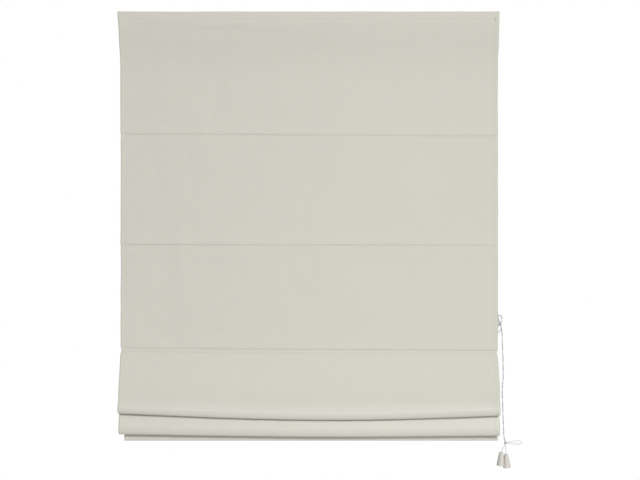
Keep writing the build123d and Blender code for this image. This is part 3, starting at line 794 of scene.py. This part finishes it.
# ------------------------------------------------------------------ Geometry Nodes: stitches and tacks
def thread_tree(name, source, sizes, shape):
    """A tree that puts one shape, made of thread, on many places of a mesh. shape adds the nodes for it."""
    tree = bpy.data.node_groups.new(name, "GeometryNodeTree")
    face = tree.interface
    face.new_socket(source, in_out="INPUT", socket_type="NodeSocketGeometry")
    for label, value in sizes.items():
        face.new_socket(label, in_out="INPUT", socket_type="NodeSocketFloat").default_value = value
    face.new_socket("Thread", in_out="INPUT", socket_type="NodeSocketMaterial")
    face.new_socket("Result", in_out="OUTPUT", socket_type="NodeSocketGeometry")
    given = new_node(tree, "NodeGroupInput").outputs
    placed = new_node(tree, "GeometryNodeInstanceOnPoints", shape(tree, given)).outputs["Instances"]
    real = new_node(tree, "GeometryNodeRealizeInstances", {"Geometry": placed}).outputs["Geometry"]
    made = new_node(tree, "GeometryNodeSetMaterial", {"Geometry": real, "Material": given["Thread"]})
    new_node(tree, "NodeGroupOutput", {"Result": made.outputs["Geometry"]})
    return tree


def stitch_shape(tree, given):
    """Slender grains of thread, a pitch apart along the mesh's lines."""
    curve = new_node(tree, "GeometryNodeMeshToCurve", {"Mesh": given["Lines"]}).outputs["Curve"]
    spread = new_node(tree, "GeometryNodeCurveToPoints", {"Curve": curve, "Length": given["Pitch"]},
                      mode="LENGTH").outputs
    grain = new_node(tree, "GeometryNodeMeshUVSphere", {"Segments": 5, "Rings": 3, "Radius": 1.0})
    half = new_node(tree, "ShaderNodeMath", {0: given["Stitch length"], 1: 0.5}, operation="MULTIPLY")
    size = new_node(tree, "ShaderNodeCombineXYZ", {"X": given["Thread radius"], "Y": given["Thread radius"],
                                                   "Z": half.outputs["Value"]})
    return {"Points": spread["Points"], "Rotation": spread["Rotation"], "Instance": grain.outputs["Mesh"],
            "Scale": size.outputs["Vector"]}


def tack_shape(tree, given):
    """A small loop of thread at each of the mesh's points."""
    loop, thread = (new_node(tree, "GeometryNodeCurvePrimitiveCircle",
                             {"Resolution": sides, "Radius": given[radius]}).outputs["Curve"]
                    for sides, radius in ((12, "Loop radius"), (5, "Thread radius")))
    tube = new_node(tree, "GeometryNodeCurveToMesh", {"Curve": loop, "Profile Curve": thread})
    turn = new_node(tree, "GeometryNodeTransform", {"Geometry": tube.outputs["Mesh"],
                                                    "Rotation": (0.0, math.pi / 2, 0.0)})
    return {"Points": given["Places"], "Instance": turn.outputs["Geometry"]}


def grown(name, vertices, edges, tree, values):
    """Runs a node tree on points or lines, and returns the result as a plain piece."""
    mesh = bpy.data.meshes.new(name)
    mesh.from_pydata([tuple(v) for v in vertices], [tuple(int(i) for i in e) for e in edges], [])
    piece = link(name, mesh)
    modifier = piece.modifiers.new(tree.name, "NODES")
    modifier.node_group = tree
    for item in tree.interface.items_tree:
        if item.name in values:
            modifier[item.identifier] = values[item.name]
    bpy.context.view_layer.update()
    made = applied(piece)
    piece.modifiers.clear()
    piece.data = made
    made.polygons.foreach_set("use_smooth", [True] * len(made.polygons))
    return piece


class Lines:
    """Runs of points, kept as the vertices and edges of one mesh."""

    def __init__(self):
        self.vertices = []
        self.edges = []

    def add(self, points):
        start = len(self.vertices)
        self.vertices.extend(points)
        self.edges.extend((start + i, start + i + 1) for i in range(len(points) - 1))


def cloth_line(share, x, back, settings):
    """Points just proud of the cloth's front or the hems' back, at pairs of a share and a place across."""
    layer = 1.0 if back else 0.0
    proud = settings.thickness / 2 + 0.06 * MM
    if len(x) == 1:
        points, toward = cloth_surface(share, [(x[0], layer)], settings)
        points, toward = points[:, 0], toward[:, 0]
    else:
        # each place across has its own share, and rows a hair before and after it give the slope
        rows = np.stack([share - 1e-4, share, share + 1e-4], 1).ravel()
        grid, ways = cloth_surface(rows, [(value, layer) for value in x], settings)
        index = np.arange(len(x))
        points, toward = grid[3 * index + 1, index], ways[3 * index + 1, index]
    return points + toward * (proud if back else -proud)


# ------------------------------------------------------------------ operators
class BLIND_OT_cloth(bpy.types.Operator):
    """Makes the cloth: heading, three upper panels, two hanging folds and the hem"""

    bl_idname = "blind.cloth"
    bl_label = "Cloth"

    def execute(self, context):
        settings = context.scene.blind_cloth
        piece, length, pressed = build_cloth(settings)
        solidify(piece, settings.thickness)
        material = cloth_finish("blind_cloth", settings.colour, settings.edge_colour, settings.weave, pressed)
        dress(piece, material, nodes=["fabric_panel"])
        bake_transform(piece)
        return {"FINISHED"}


class BLIND_OT_sewing(bpy.types.Operator):
    """Sews the heading, the side hems, the rod pockets and the bottom hem"""

    bl_idname = "blind.sewing"
    bl_label = "Sewing"

    def execute(self, context):
        settings = context.scene.blind_cloth
        sewing = context.scene.blind_sewing
        thread = thread_finish(sewing.thread_colour)
        tree = thread_tree("stitch_rows", "Lines", {"Pitch": sewing.pitch, "Stitch length": sewing.stitch,
                                                    "Thread radius": sewing.thread}, stitch_shape)
        values = {"Pitch": sewing.pitch, "Stitch length": sewing.stitch, "Thread radius": sewing.thread,
                  "Thread": thread}
        lines = Lines()
        hem_x = 0.5 - settings.side_hem + 1.2 * MM
        down = cloth_rows()
        down = down[(down > share_at_index(FLAT_TOP)) & (down < share_at_index(len(CLOTH_SIDE) - 8))]
        for x in (-hem_x, hem_x):
            for back in (False, True):
                lines.add(cloth_line(down, np.array([x]), back, settings))
        across = np.linspace(-0.486, 0.486, 160)
        near_hem = np.linspace(share_at_index(62), share_at_index(66), 200)
        heights = cloth_points(np.array([0.0]), near_hem, settings)[2][:, 0]
        bottom = float(np.interp(-HEM_STITCH, -heights, near_hem))
        for share in (share_at(HEADING_STITCH), bottom):
            lines.add(cloth_line(np.full_like(across, share), across, False, settings))
        samples = np.linspace(share_at_index(13), share_at_index(FLAT_PAST), 900)
        heights = cloth_points(across, samples, settings)[2]
        for number in CREASES:
            for row in (-STITCH_ROWS[number], STITCH_ROWS[number]):
                level = crease_level(number, across) + row
                share = np.array([np.interp(-level[index], -heights[:, index], samples)
                                  for index in range(len(across))])
                lines.add(cloth_line(share, across, False, settings))
        piece = grown("cloth_stitches", lines.vertices, lines.edges, tree, values)
        dress(piece, thread)
        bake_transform(piece)
        # the same rows as they show on the pockets at the back
        x = np.linspace(-0.476, 0.476, 40)
        y = np.full_like(x, POCKET_FRONT + POCKET_TAPE + 0.1 * MM)
        by_body = {}
        for number in RODS:
            lines = by_body.setdefault(ROD_BODY[number], Lines())
            for row in (-STITCH_ROWS[number], STITCH_ROWS[number]):
                z = ROD_PLACE[number].z + row * MM + pocket_rise(number, x)
                lines.add(np.stack([x, y, z], 1))
        for body, lines in by_body.items():
            piece = grown(f"pocket_stitches_{body}", lines.vertices, lines.edges, tree, values)
            dress(piece, thread, body=body)
        return {"FINISHED"}


POCKET_FRONT = -1.95 * MM
POCKET_TAPE = 0.4 * MM
# The outer side of the upper half of a pocket: behind its front, and above its rod's middle
POCKET_UPPER = ((0.4, 6.4), (0.4, 5.2), (0.9, 4.5), (2.35, 3.6), (4.15, 2.7), (5.55, 1.7))


def pocket_rise(number, x):
    """How far a pocket rides up or down on its rod, in metres, so that it follows the crease."""
    return 0.8 * crease_rise(number, x) * MM if number in CREASES else 0 * x


def pocket_section():
    """A pocket's closed outline from the side, about its rod's middle, with its outer points first."""
    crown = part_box("rod_1_pocket")[1].y
    upper = [(POCKET_FRONT + y * MM, z * MM) for y, z in POCKET_UPPER] + [(crown, 0.6 * MM)]
    outer = np.array(upper + [(y, -z) for y, z in upper[::-1]])
    # the inner side is one tape's thickness nearer to the cloth
    run = np.gradient(outer, axis=0)
    square = np.stack([run[:, 1], -run[:, 0]], 1)
    square /= np.linalg.norm(square, axis=1, keepdims=True)
    inner = outer + square * POCKET_TAPE
    inner[:, 0] = np.maximum(inner[:, 0], POCKET_FRONT)
    return np.concatenate([outer, inner[::-1]])


class BLIND_OT_pockets(bpy.types.Operator):
    """Makes the woven pockets that hold the rods behind the cloth"""

    bl_idname = "blind.pockets"
    bl_label = "Rod pockets"

    def execute(self, context):
        tape = tape_finish("pocket_tape", (0.66, 0.645, 0.585), 0.8 * MM)
        section = pocket_section()
        count = len(section)
        xs = np.linspace(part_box("rod_1_pocket")[0].x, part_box("rod_1_pocket")[1].x, 170)
        for number in RODS:
            pucker = 0.16 * MM * ripple(xs, 80, 90 + number)
            vertices = []
            for x, lift, wave in zip(xs, pocket_rise(number, xs), pucker):
                for y, z in section:
                    slack = wave if abs(z) < 5.0 * MM else 0.0
                    bend = lift if abs(z) > 3.0 * MM else lift * 0.35
                    vertices.append((x, y + slack, ROD_PLACE[number].z + z + bend))
            faces = tube_faces(len(xs), count)
            last = (len(xs) - 1) * count
            for i in range(count // 2 - 1):
                end = [i, i + 1, count - 2 - i, count - 1 - i]
                faces += [end, [last + corner for corner in end[::-1]]]
            piece = outward(mesh_piece(f"pocket_{number}", vertices, faces))
            dress(piece, tape, body=ROD_BODY[number], nodes=[f"rod_{number}_pocket"])
        return {"FINISHED"}


class BLIND_OT_ring_tacks(bpy.types.Operator):
    """Binds each ring to its pocket with a few turns of thread"""

    bl_idname = "blind.ring_tacks"
    bl_label = "Ring tacks"

    def execute(self, context):
        sizes = {"Loop radius": 1.12 * MM, "Thread radius": 0.25 * MM}
        tree = thread_tree("ring_tacks", "Places", sizes, tack_shape)
        thread = bpy.data.materials["sewing_thread"]
        y = CORD_LINE - RING_RADIUS + 0.5 * MM
        by_body = {}
        for number in RODS:
            places = by_body.setdefault(ROD_BODY[number], [])
            for side in SIDES.values():
                for turn in range(-2, 3):
                    places.append((side * RING_REACH + turn * 0.5 * MM, y,
                                   ROD_PLACE[number].z + 0.05 * MM * turn))
        for body, places in by_body.items():
            piece = grown(f"ring_tacks_{body}", places, [], tree, {**sizes, "Thread": thread})
            dress(piece, thread, body=body)
        return {"FINISHED"}


class BLIND_OT_heading_tapes(bpy.types.Operator):
    """Makes the hook tape on the rail and the loop tape on the heading"""

    bl_idname = "blind.heading_tapes"
    bl_label = "Heading tapes"

    def execute(self, context):
        rim = 0.45 * MM
        for node, colour, rib, seed in (("hook_tape", (0.74, 0.74, 0.71), 1.6 * MM, 3),
                                        ("loop_tape", (0.70, 0.69, 0.64), 1.1 * MM, 4)):
            low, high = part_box(node)
            half = (low.z + high.z) / 2
            section = [(low.y, low.z + rim), (low.y + rim, low.z), (high.y - rim, low.z),
                       (high.y, low.z + rim), (high.y, half), (high.y, high.z - rim), (high.y - rim, high.z),
                       (low.y + rim, high.z), (low.y, high.z - rim), (low.y, half)]
            xs = np.linspace(low.x, high.x, 220)
            wave = 0.18 * MM * ripple(xs, 60, seed, 0.4)
            vertices = [(x, y, z + shift * (1 if z > half else -0.5))
                        for x, shift in zip(xs, wave) for y, z in section]
            count = len(section)
            faces = tube_faces(len(xs), count)
            faces.append(list(range(count))[::-1])
            faces.append([(len(xs) - 1) * count + i for i in range(count)])
            piece = outward(mesh_piece(f"heading_{node}", vertices, faces, smooth=False))
            dress(piece, tape_finish(node, colour, rib), body=HEADRAIL, nodes=[node])
        return {"FINISHED"}


# The cords' routes, in metres. The pull cords run side by side along one middle line.
LOCK_EXIT_X = 0.4817
LOCK_EXIT_Z = -0.029
LOCK_Y = {"left": 0.0040, "right": 0.0084}
CORD_RUN_Z = -0.0175
CORD_STEP = 0.9 * MM
ROUTE_DETAIL = 24
SIDES = {"left": -1, "right": 1}
PAIR_HALF = 0.0009
PAIR_ROUTE = [
    (0.486, 0.0064, -0.14), (0.496, 0.009, -0.77), (0.5004, 0.0094, -0.797), (0.5032, 0.0094, -0.813),
    (0.509, 0.0092, -0.825), (0.5094, 0.0086, -0.836), (0.505, 0.008, -0.8444), (0.4978, 0.0073, -0.843),
    (0.4972, 0.0067, -0.8342), (0.503, 0.006, -0.8264), (0.5104, 0.0056, -0.818), (0.5112, 0.005, -0.807),
    (0.5074, 0.0046, -0.7998), (0.5002, 0.0042, -0.7998), (0.498, 0.0036, -0.808),
    (0.5024, 0.0028, -0.8188), (0.5084, 0.0022, -0.8296), (0.5104, 0.0018, -0.846), (0.511, 0.0016, -0.87),
    (0.513, 0.0012, -0.92), (0.5136, 0.001, -0.966), (0.5106, 0.0014, -0.99), (0.512, 0.0018, -1.04),
    (0.5142, 0.002, -1.098), (0.5154, 0.0022, -1.122), (0.519, 0.0026, -1.136)]
LOWER_ROUTE = {"left": [(0.5164, 0.0018, -1.1470)], "right": [(0.5208, 0.0060, -1.1490)]}
TASSEL_TOP = {"left": Vector((0.5080, 0.0, -1.1610)), "right": Vector((0.5224, 0.0096, -1.1686))}
TASSEL_LEAN = math.radians(3.6)
TASSEL_ENTRY = 0.004
TASSEL_BORE = 0.022
TIE_POINT = Vector((0.5194, 0.0027, -1.1376))


def tassel_down(name):
    """The way a tassel hangs."""
    lean = SIDES[name] * TASSEL_LEAN
    return Vector((math.sin(lean), 0.0, -math.cos(lean)))


def pull_lines(turns):
    """The two pull cords' middle lines, turning round each other between the lock and the tie."""
    lines = {}
    for name, side in SIDES.items():
        down = tassel_down(name)
        route = [(LOCK_EXIT_X, LOCK_Y[name], LOCK_EXIT_Z)]
        route += [(x, y + side * PAIR_HALF, z) for x, y, z in PAIR_ROUTE]
        route += LOWER_ROUTE[name]
        route += [tuple(TASSEL_TOP[name] - TASSEL_ENTRY * down), tuple(TASSEL_TOP[name] + TASSEL_BORE * down)]
        lines[name] = nurbs_points(route, ROUTE_DETAIL)
    left, right = lines["left"], lines["right"]
    centre = (left + right) / 2
    tangents = frames_along(centre)[0]
    apart = right - left
    along = lengths_along(centre)
    tie = int(np.argmin(np.linalg.norm(centre - np.array(TIE_POINT), axis=1)))
    share = np.clip(along / along[tie], 0, 1)
    angle = 2 * math.pi * turns * (share + 0.006 * np.sin(2 * math.pi * 7 * share))
    for index in range(tie + 1):
        tangent = tangents[index]
        gap = apart[index] - tangent * np.dot(apart[index], tangent)
        turned = gap * math.cos(angle[index]) + np.cross(tangent, gap) * math.sin(angle[index])
        left[index] = centre[index] - turned / 2
        right[index] = centre[index] + turned / 2
    return lines


class BLIND_OT_pull_cords(bpy.types.Operator):
    """Makes the two pull cords from the cord lock, through the figure eight and the tie, to the tassels"""

    bl_idname = "blind.pull_cords"
    bl_label = "Pull cords"

    def execute(self, context):
        settings = context.scene.blind_cords
        material = cord_finish("pull_cord", settings.colour)
        for name, route in pull_lines(settings.twist).items():
            line = evenly(route, CORD_STEP)
            piece = rope(f"pull_cord_{name}_strand", line, settings.diameter / 2, settings.lay)
            dress(piece, material, nodes=[f"pull_cord_{name}"])
            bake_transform(piece)
        return {"FINISHED"}


class BLIND_OT_lift_cords(bpy.types.Operator):
    """Makes the two lift cords from their beads, up through the rings and along the rail to the cord lock"""

    bl_idname = "blind.lift_cords"
    bl_label = "Lift cords"

    def execute(self, context):
        settings = context.scene.blind_cords
        material = cord_finish("lift_cord", settings.colour)
        near = 6 * settings.diameter
        lead = min(near, 0.8 * (CORD_RUN_Z - LOCK_EXIT_Z))
        for name, side in SIDES.items():
            x, y = side * RING_REACH, LOCK_Y[name]
            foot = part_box(f"cord_bead_{name}")[0].z
            route = [(x, CORD_LINE, foot), (x, CORD_LINE, CORD_RUN_Z - near), (x, CORD_LINE, CORD_RUN_Z),
                     (x + near, CORD_LINE, CORD_RUN_Z), (LOCK_EXIT_X - lead, y, CORD_RUN_Z),
                     (LOCK_EXIT_X, y, CORD_RUN_Z), (LOCK_EXIT_X, y, LOCK_EXIT_Z)]
            line = evenly(nurbs_points(route, ROUTE_DETAIL), CORD_STEP)
            piece = rope(f"lift_cord_{name}_strand", line, settings.diameter / 2, settings.lay)
            dress(piece, material, nodes=[f"lift_cord_{name}"])
            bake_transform(piece)
        return {"FINISHED"}


def overhand(name, centre, reach, radius, lay, up):
    """A small tied knot: a trefoil of cord about a centre, with its flat side square to up."""
    t = np.linspace(0, 2 * math.pi, 120)
    size = reach - radius
    shape = np.stack([(np.sin(t) + 2 * np.sin(2 * t)) / 3, (np.cos(t) - 2 * np.cos(2 * t)) / 3,
                      -np.sin(3 * t) * 0.75], 1) * size
    turn = Vector((0, 0, 1)).rotation_difference(Vector(up))
    line = np.array([centre + turn @ Vector(p) for p in shape])
    return rope(name, line, radius, lay, around=8)


class BLIND_OT_knots(bpy.types.Operator):
    """Ties the knots under the beads and in the tassels, and the turns that hold the figure eight"""

    bl_idname = "blind.knots"
    bl_label = "Knots"

    def execute(self, context):
        settings = context.scene.blind_cords
        material = cord_finish("knotted_cord", settings.colour)
        radius = settings.diameter / 2
        for name in SIDES:
            for node, piece_name, body, up in (
                    (f"lift_cord_knot_{name}", f"knot_under_bead_{name}", STACK, (0, 0, 1)),
                    (f"tassel_knot_{name}", f"knot_in_tassel_{name}", PULLED, tassel_down(name))):
                low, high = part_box(node)
                piece = overhand(piece_name, (low + high) / 2, (high.x - low.x) / 2, radius, settings.lay, up)
                dress(piece, material, body=body, nodes=[node])
        low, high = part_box("pull_cord_loop_knot")
        centre = (low + high) / 2
        turns = 5
        t = np.linspace(0, 1, 260)
        closing = np.clip(np.minimum(t, 1 - t) / 0.12, 0, 1)
        angle = 2 * math.pi * turns * t
        around = ((high.x - low.x) / 2 - radius) * (0.30 + 0.70 * closing ** 0.5)
        y = low.y + radius + (high.y - low.y - 2 * radius) * t
        line = np.stack([centre.x + around * np.cos(angle), y, centre.z + around * np.sin(angle)], 1)
        piece = rope("wrap_of_loops", line, radius, settings.lay, around=8)
        dress(piece, material, body=PULLED, nodes=["pull_cord_loop_knot"])
        return {"FINISHED"}


class BLIND_OT_tie(bpy.types.Operator):
    """Makes the plastic-coated wire tie: its turns round the cords, its bow and its tail"""

    bl_idname = "blind.tie"
    bl_label = "Wire tie"

    def execute(self, context):
        material = plastic_finish("tie_plastic", (0.50, 0.50, 0.51), 0.42, grain=700.0)
        x, y, z = TIE_POINT
        t = np.linspace(0, 1, 150)
        angle = 2 * math.pi * 3.5 * t
        wraps = np.stack([x + 2.75 * MM * np.cos(angle), y + 2.75 * MM * np.sin(angle),
                          z + (2.0 - 4.0 * t) * MM], 1)
        bow = ((2.6, 0.0, 0.9), (16, 0.0, 4.4), (36, 0.0, 6.2), (44, 0.0, 3.6), (43.6, 0.0, -1.6),
               (36, 0.0, -4.8), (16, 0.0, -4.0), (2.6, 0.0, -0.9))
        tail = ((2.2, 0.0, 0.0), (14, -0.6, 0.8), (30, 0.4, -1.0), (40, 0.0, 0.4))
        lines = [wraps]
        for run in (bow, tail):
            route = [(x + a * MM, y + b * MM, z + c * MM) for a, b, c in run]
            lines.append(evenly(nurbs_points(route, 16), 1.0 * MM))
        parts = [rope("tie_part", line, 0.6 * MM, 1.0, strands=2, depth=0.22, around=8) for line in lines]
        piece = joined("twist_tie", parts)
        dress(piece, material, body=PULLED, nodes=["cord_tie"])
        return {"FINISHED"}


class BLIND_OT_finishes(bpy.types.Operator):
    """Gives the rail, clips, lock, guides, rods, bar, rings, beads and tassels their finishes"""

    bl_idname = "blind.finishes"
    bl_label = "Finishes"

    def execute(self, context):
        trim = context.scene.blind_trim
        looks = {
            "aluminium": drawn_finish("anodised_rail", trim.metal_colour, 0.34, (6.0, 900.0, 900.0)),
            "white_plastic": plastic_finish("white_plastic", trim.plastic_colour, 0.45),
            "steel": drawn_finish("zinc_plate", (0.60, 0.60, 0.61), 0.36, 120.0),
            "bar_steel": painted_finish("bar_enamel", (0.80, 0.80, 0.78), 0.4),
            "tassel": plastic_finish("tassel_plastic", trim.tassel_colour, 0.5, grain=500.0),
            "ring": plastic_finish("ring_plastic", (0.80, 0.80, 0.77), 0.28, coat=0.2),
            "rod": drawn_finish("fibre_rod", (0.78, 0.77, 0.72), 0.5, (5.0, 1400.0, 1400.0), metallic=0.0),
        }
        slots = {row["node"]: row["material_slot"] for row in frame["record"]["subparts"]}
        for node, piece in frame["nodes"].items():
            if not piece.hide_render:
                piece.data.materials.clear()
                piece.data.materials.append(looks[slots[node]])
        return {"FINISHED"}


FLOOR_HALF = 9.0
FLOOR_BACK = 3.2
FLOOR_Z = -2.3
WHITE = (1.0, 1.0, 1.0)
LIGHT_TARGET = Vector((0.0, 0.0, -0.60))


class BLIND_OT_stage(bpy.types.Operator):
    """Sets the pale floor, the lights, the even sky and the camera"""

    bl_idname = "blind.stage"
    bl_label = "Stage"

    def execute(self, context):
        settings = context.scene.blind_stage
        scene = context.scene
        corners = ((-FLOOR_HALF, -FLOOR_HALF), (FLOOR_HALF, -FLOOR_HALF), (FLOOR_HALF, FLOOR_BACK),
                   (-FLOOR_HALF, FLOOR_BACK))
        floor = mesh_piece("floor", [(x, y, FLOOR_Z) for x, y in corners], [(0, 1, 2, 3)], smooth=False)
        paint = Finish("floor_paint", (0.86, 0.86, 0.85), 0.7, specular=0.3)
        paint.tint(paint.noise(1.2), (0.83, 0.83, 0.82))
        paint.bump(paint.noise(180.0), 0.2 * MM, 0.3)
        floor.data.materials.append(paint.material)
        # white behind the blind, and an even but weaker light on it
        scene.world = bpy.data.worlds.new("white_room")
        scene.world.use_nodes = True
        tree = scene.world.node_tree
        tree.nodes.clear()
        seen, light = (new_node(tree, "ShaderNodeBackground", {"Color": (*WHITE, 1.0), "Strength": strength})
                       for strength in (1.0, settings.sky))
        choose = new_node(tree, "ShaderNodeMixShader", {
            0: new_node(tree, "ShaderNodeLightPath").outputs["Is Camera Ray"],
            1: light.outputs[0], 2: seen.outputs[0]})
        new_node(tree, "ShaderNodeOutputWorld", {"Surface": choose.outputs[0]})
        for name, kind, place, size, power, warmth in (
                ("key", "SUN", (2.2, -9.0, 4.1), 0.21, settings.key, (1.0, 0.995, 0.985)),
                ("fill", "AREA", (2.6, -3.6, -0.4), 1.8, settings.fill, (0.985, 0.99, 1.0)),
                ("behind", "AREA", (-1.4, 3.6, 2.2), 2.0, settings.behind, WHITE)):
            lamp = bpy.data.lights.new(name, kind)
            if kind == "SUN":
                lamp.angle = size
            else:
                lamp.shape = "SQUARE"
                lamp.size = size
            lamp.energy = power
            lamp.color = warmth
            holder = link(name, lamp)
            holder.location = place
            holder.rotation_euler = (LIGHT_TARGET - Vector(place)).to_track_quat("-Z", "Y").to_euler()
        camera = bpy.data.cameras.new("front")
        camera.lens = settings.lens
        camera.sensor_width = 36.0
        holder = link("front", camera)
        holder.location = (settings.eye_x, ROD_PLACE[1].y - settings.distance, settings.eye_z)
        holder.rotation_euler = (math.pi / 2, 0.0, 0.0)
        scene.camera = holder
        scene.view_settings.view_transform = "Standard"
        return {"FINISHED"}


class BLIND_PT_panel(bpy.types.Panel):
    """Lists the blind's settings and the steps that build it"""

    bl_idname = "BLIND_PT_panel"
    bl_label = "Roman blind"
    bl_space_type = "VIEW_3D"
    bl_region_type = "UI"
    bl_category = "Blind"

    def draw(self, context):
        for group in GROUPS:
            settings = getattr(context.scene, group)
            box = self.layout.box()
            for name in settings.__annotations__:
                box.prop(settings, name)
        for step in STEPS:
            self.layout.operator(step.bl_idname)


GROUPS = {"blind_cloth": BlindClothSettings, "blind_sewing": BlindSewingSettings,
          "blind_cords": BlindCordSettings, "blind_trim": BlindTrimSettings,
          "blind_stage": BlindStageSettings}
STEPS = (BLIND_OT_cloth, BLIND_OT_sewing, BLIND_OT_pockets, BLIND_OT_ring_tacks, BLIND_OT_heading_tapes,
         BLIND_OT_knots, BLIND_OT_tie, BLIND_OT_lift_cords, BLIND_OT_pull_cords, BLIND_OT_finishes,
         BLIND_OT_stage)


def register():
    for group in GROUPS.values():
        bpy.utils.register_class(group)
    for name, group in GROUPS.items():
        setattr(bpy.types.Scene, name, bpy.props.PointerProperty(type=group))
    for step in STEPS:
        bpy.utils.register_class(step)
    bpy.utils.register_class(BLIND_PT_panel)


def unregister():
    bpy.utils.unregister_class(BLIND_PT_panel)
    for step in reversed(STEPS):
        bpy.utils.unregister_class(step)
    for name in GROUPS:
        delattr(bpy.types.Scene, name)
    for group in reversed(list(GROUPS.values())):
        bpy.utils.unregister_class(group)


def main():
    register()
    for step in STEPS:
        group, name = step.bl_idname.split(".")
        getattr(getattr(bpy.ops, group), name)()


if __name__ == "__main__":
    main()
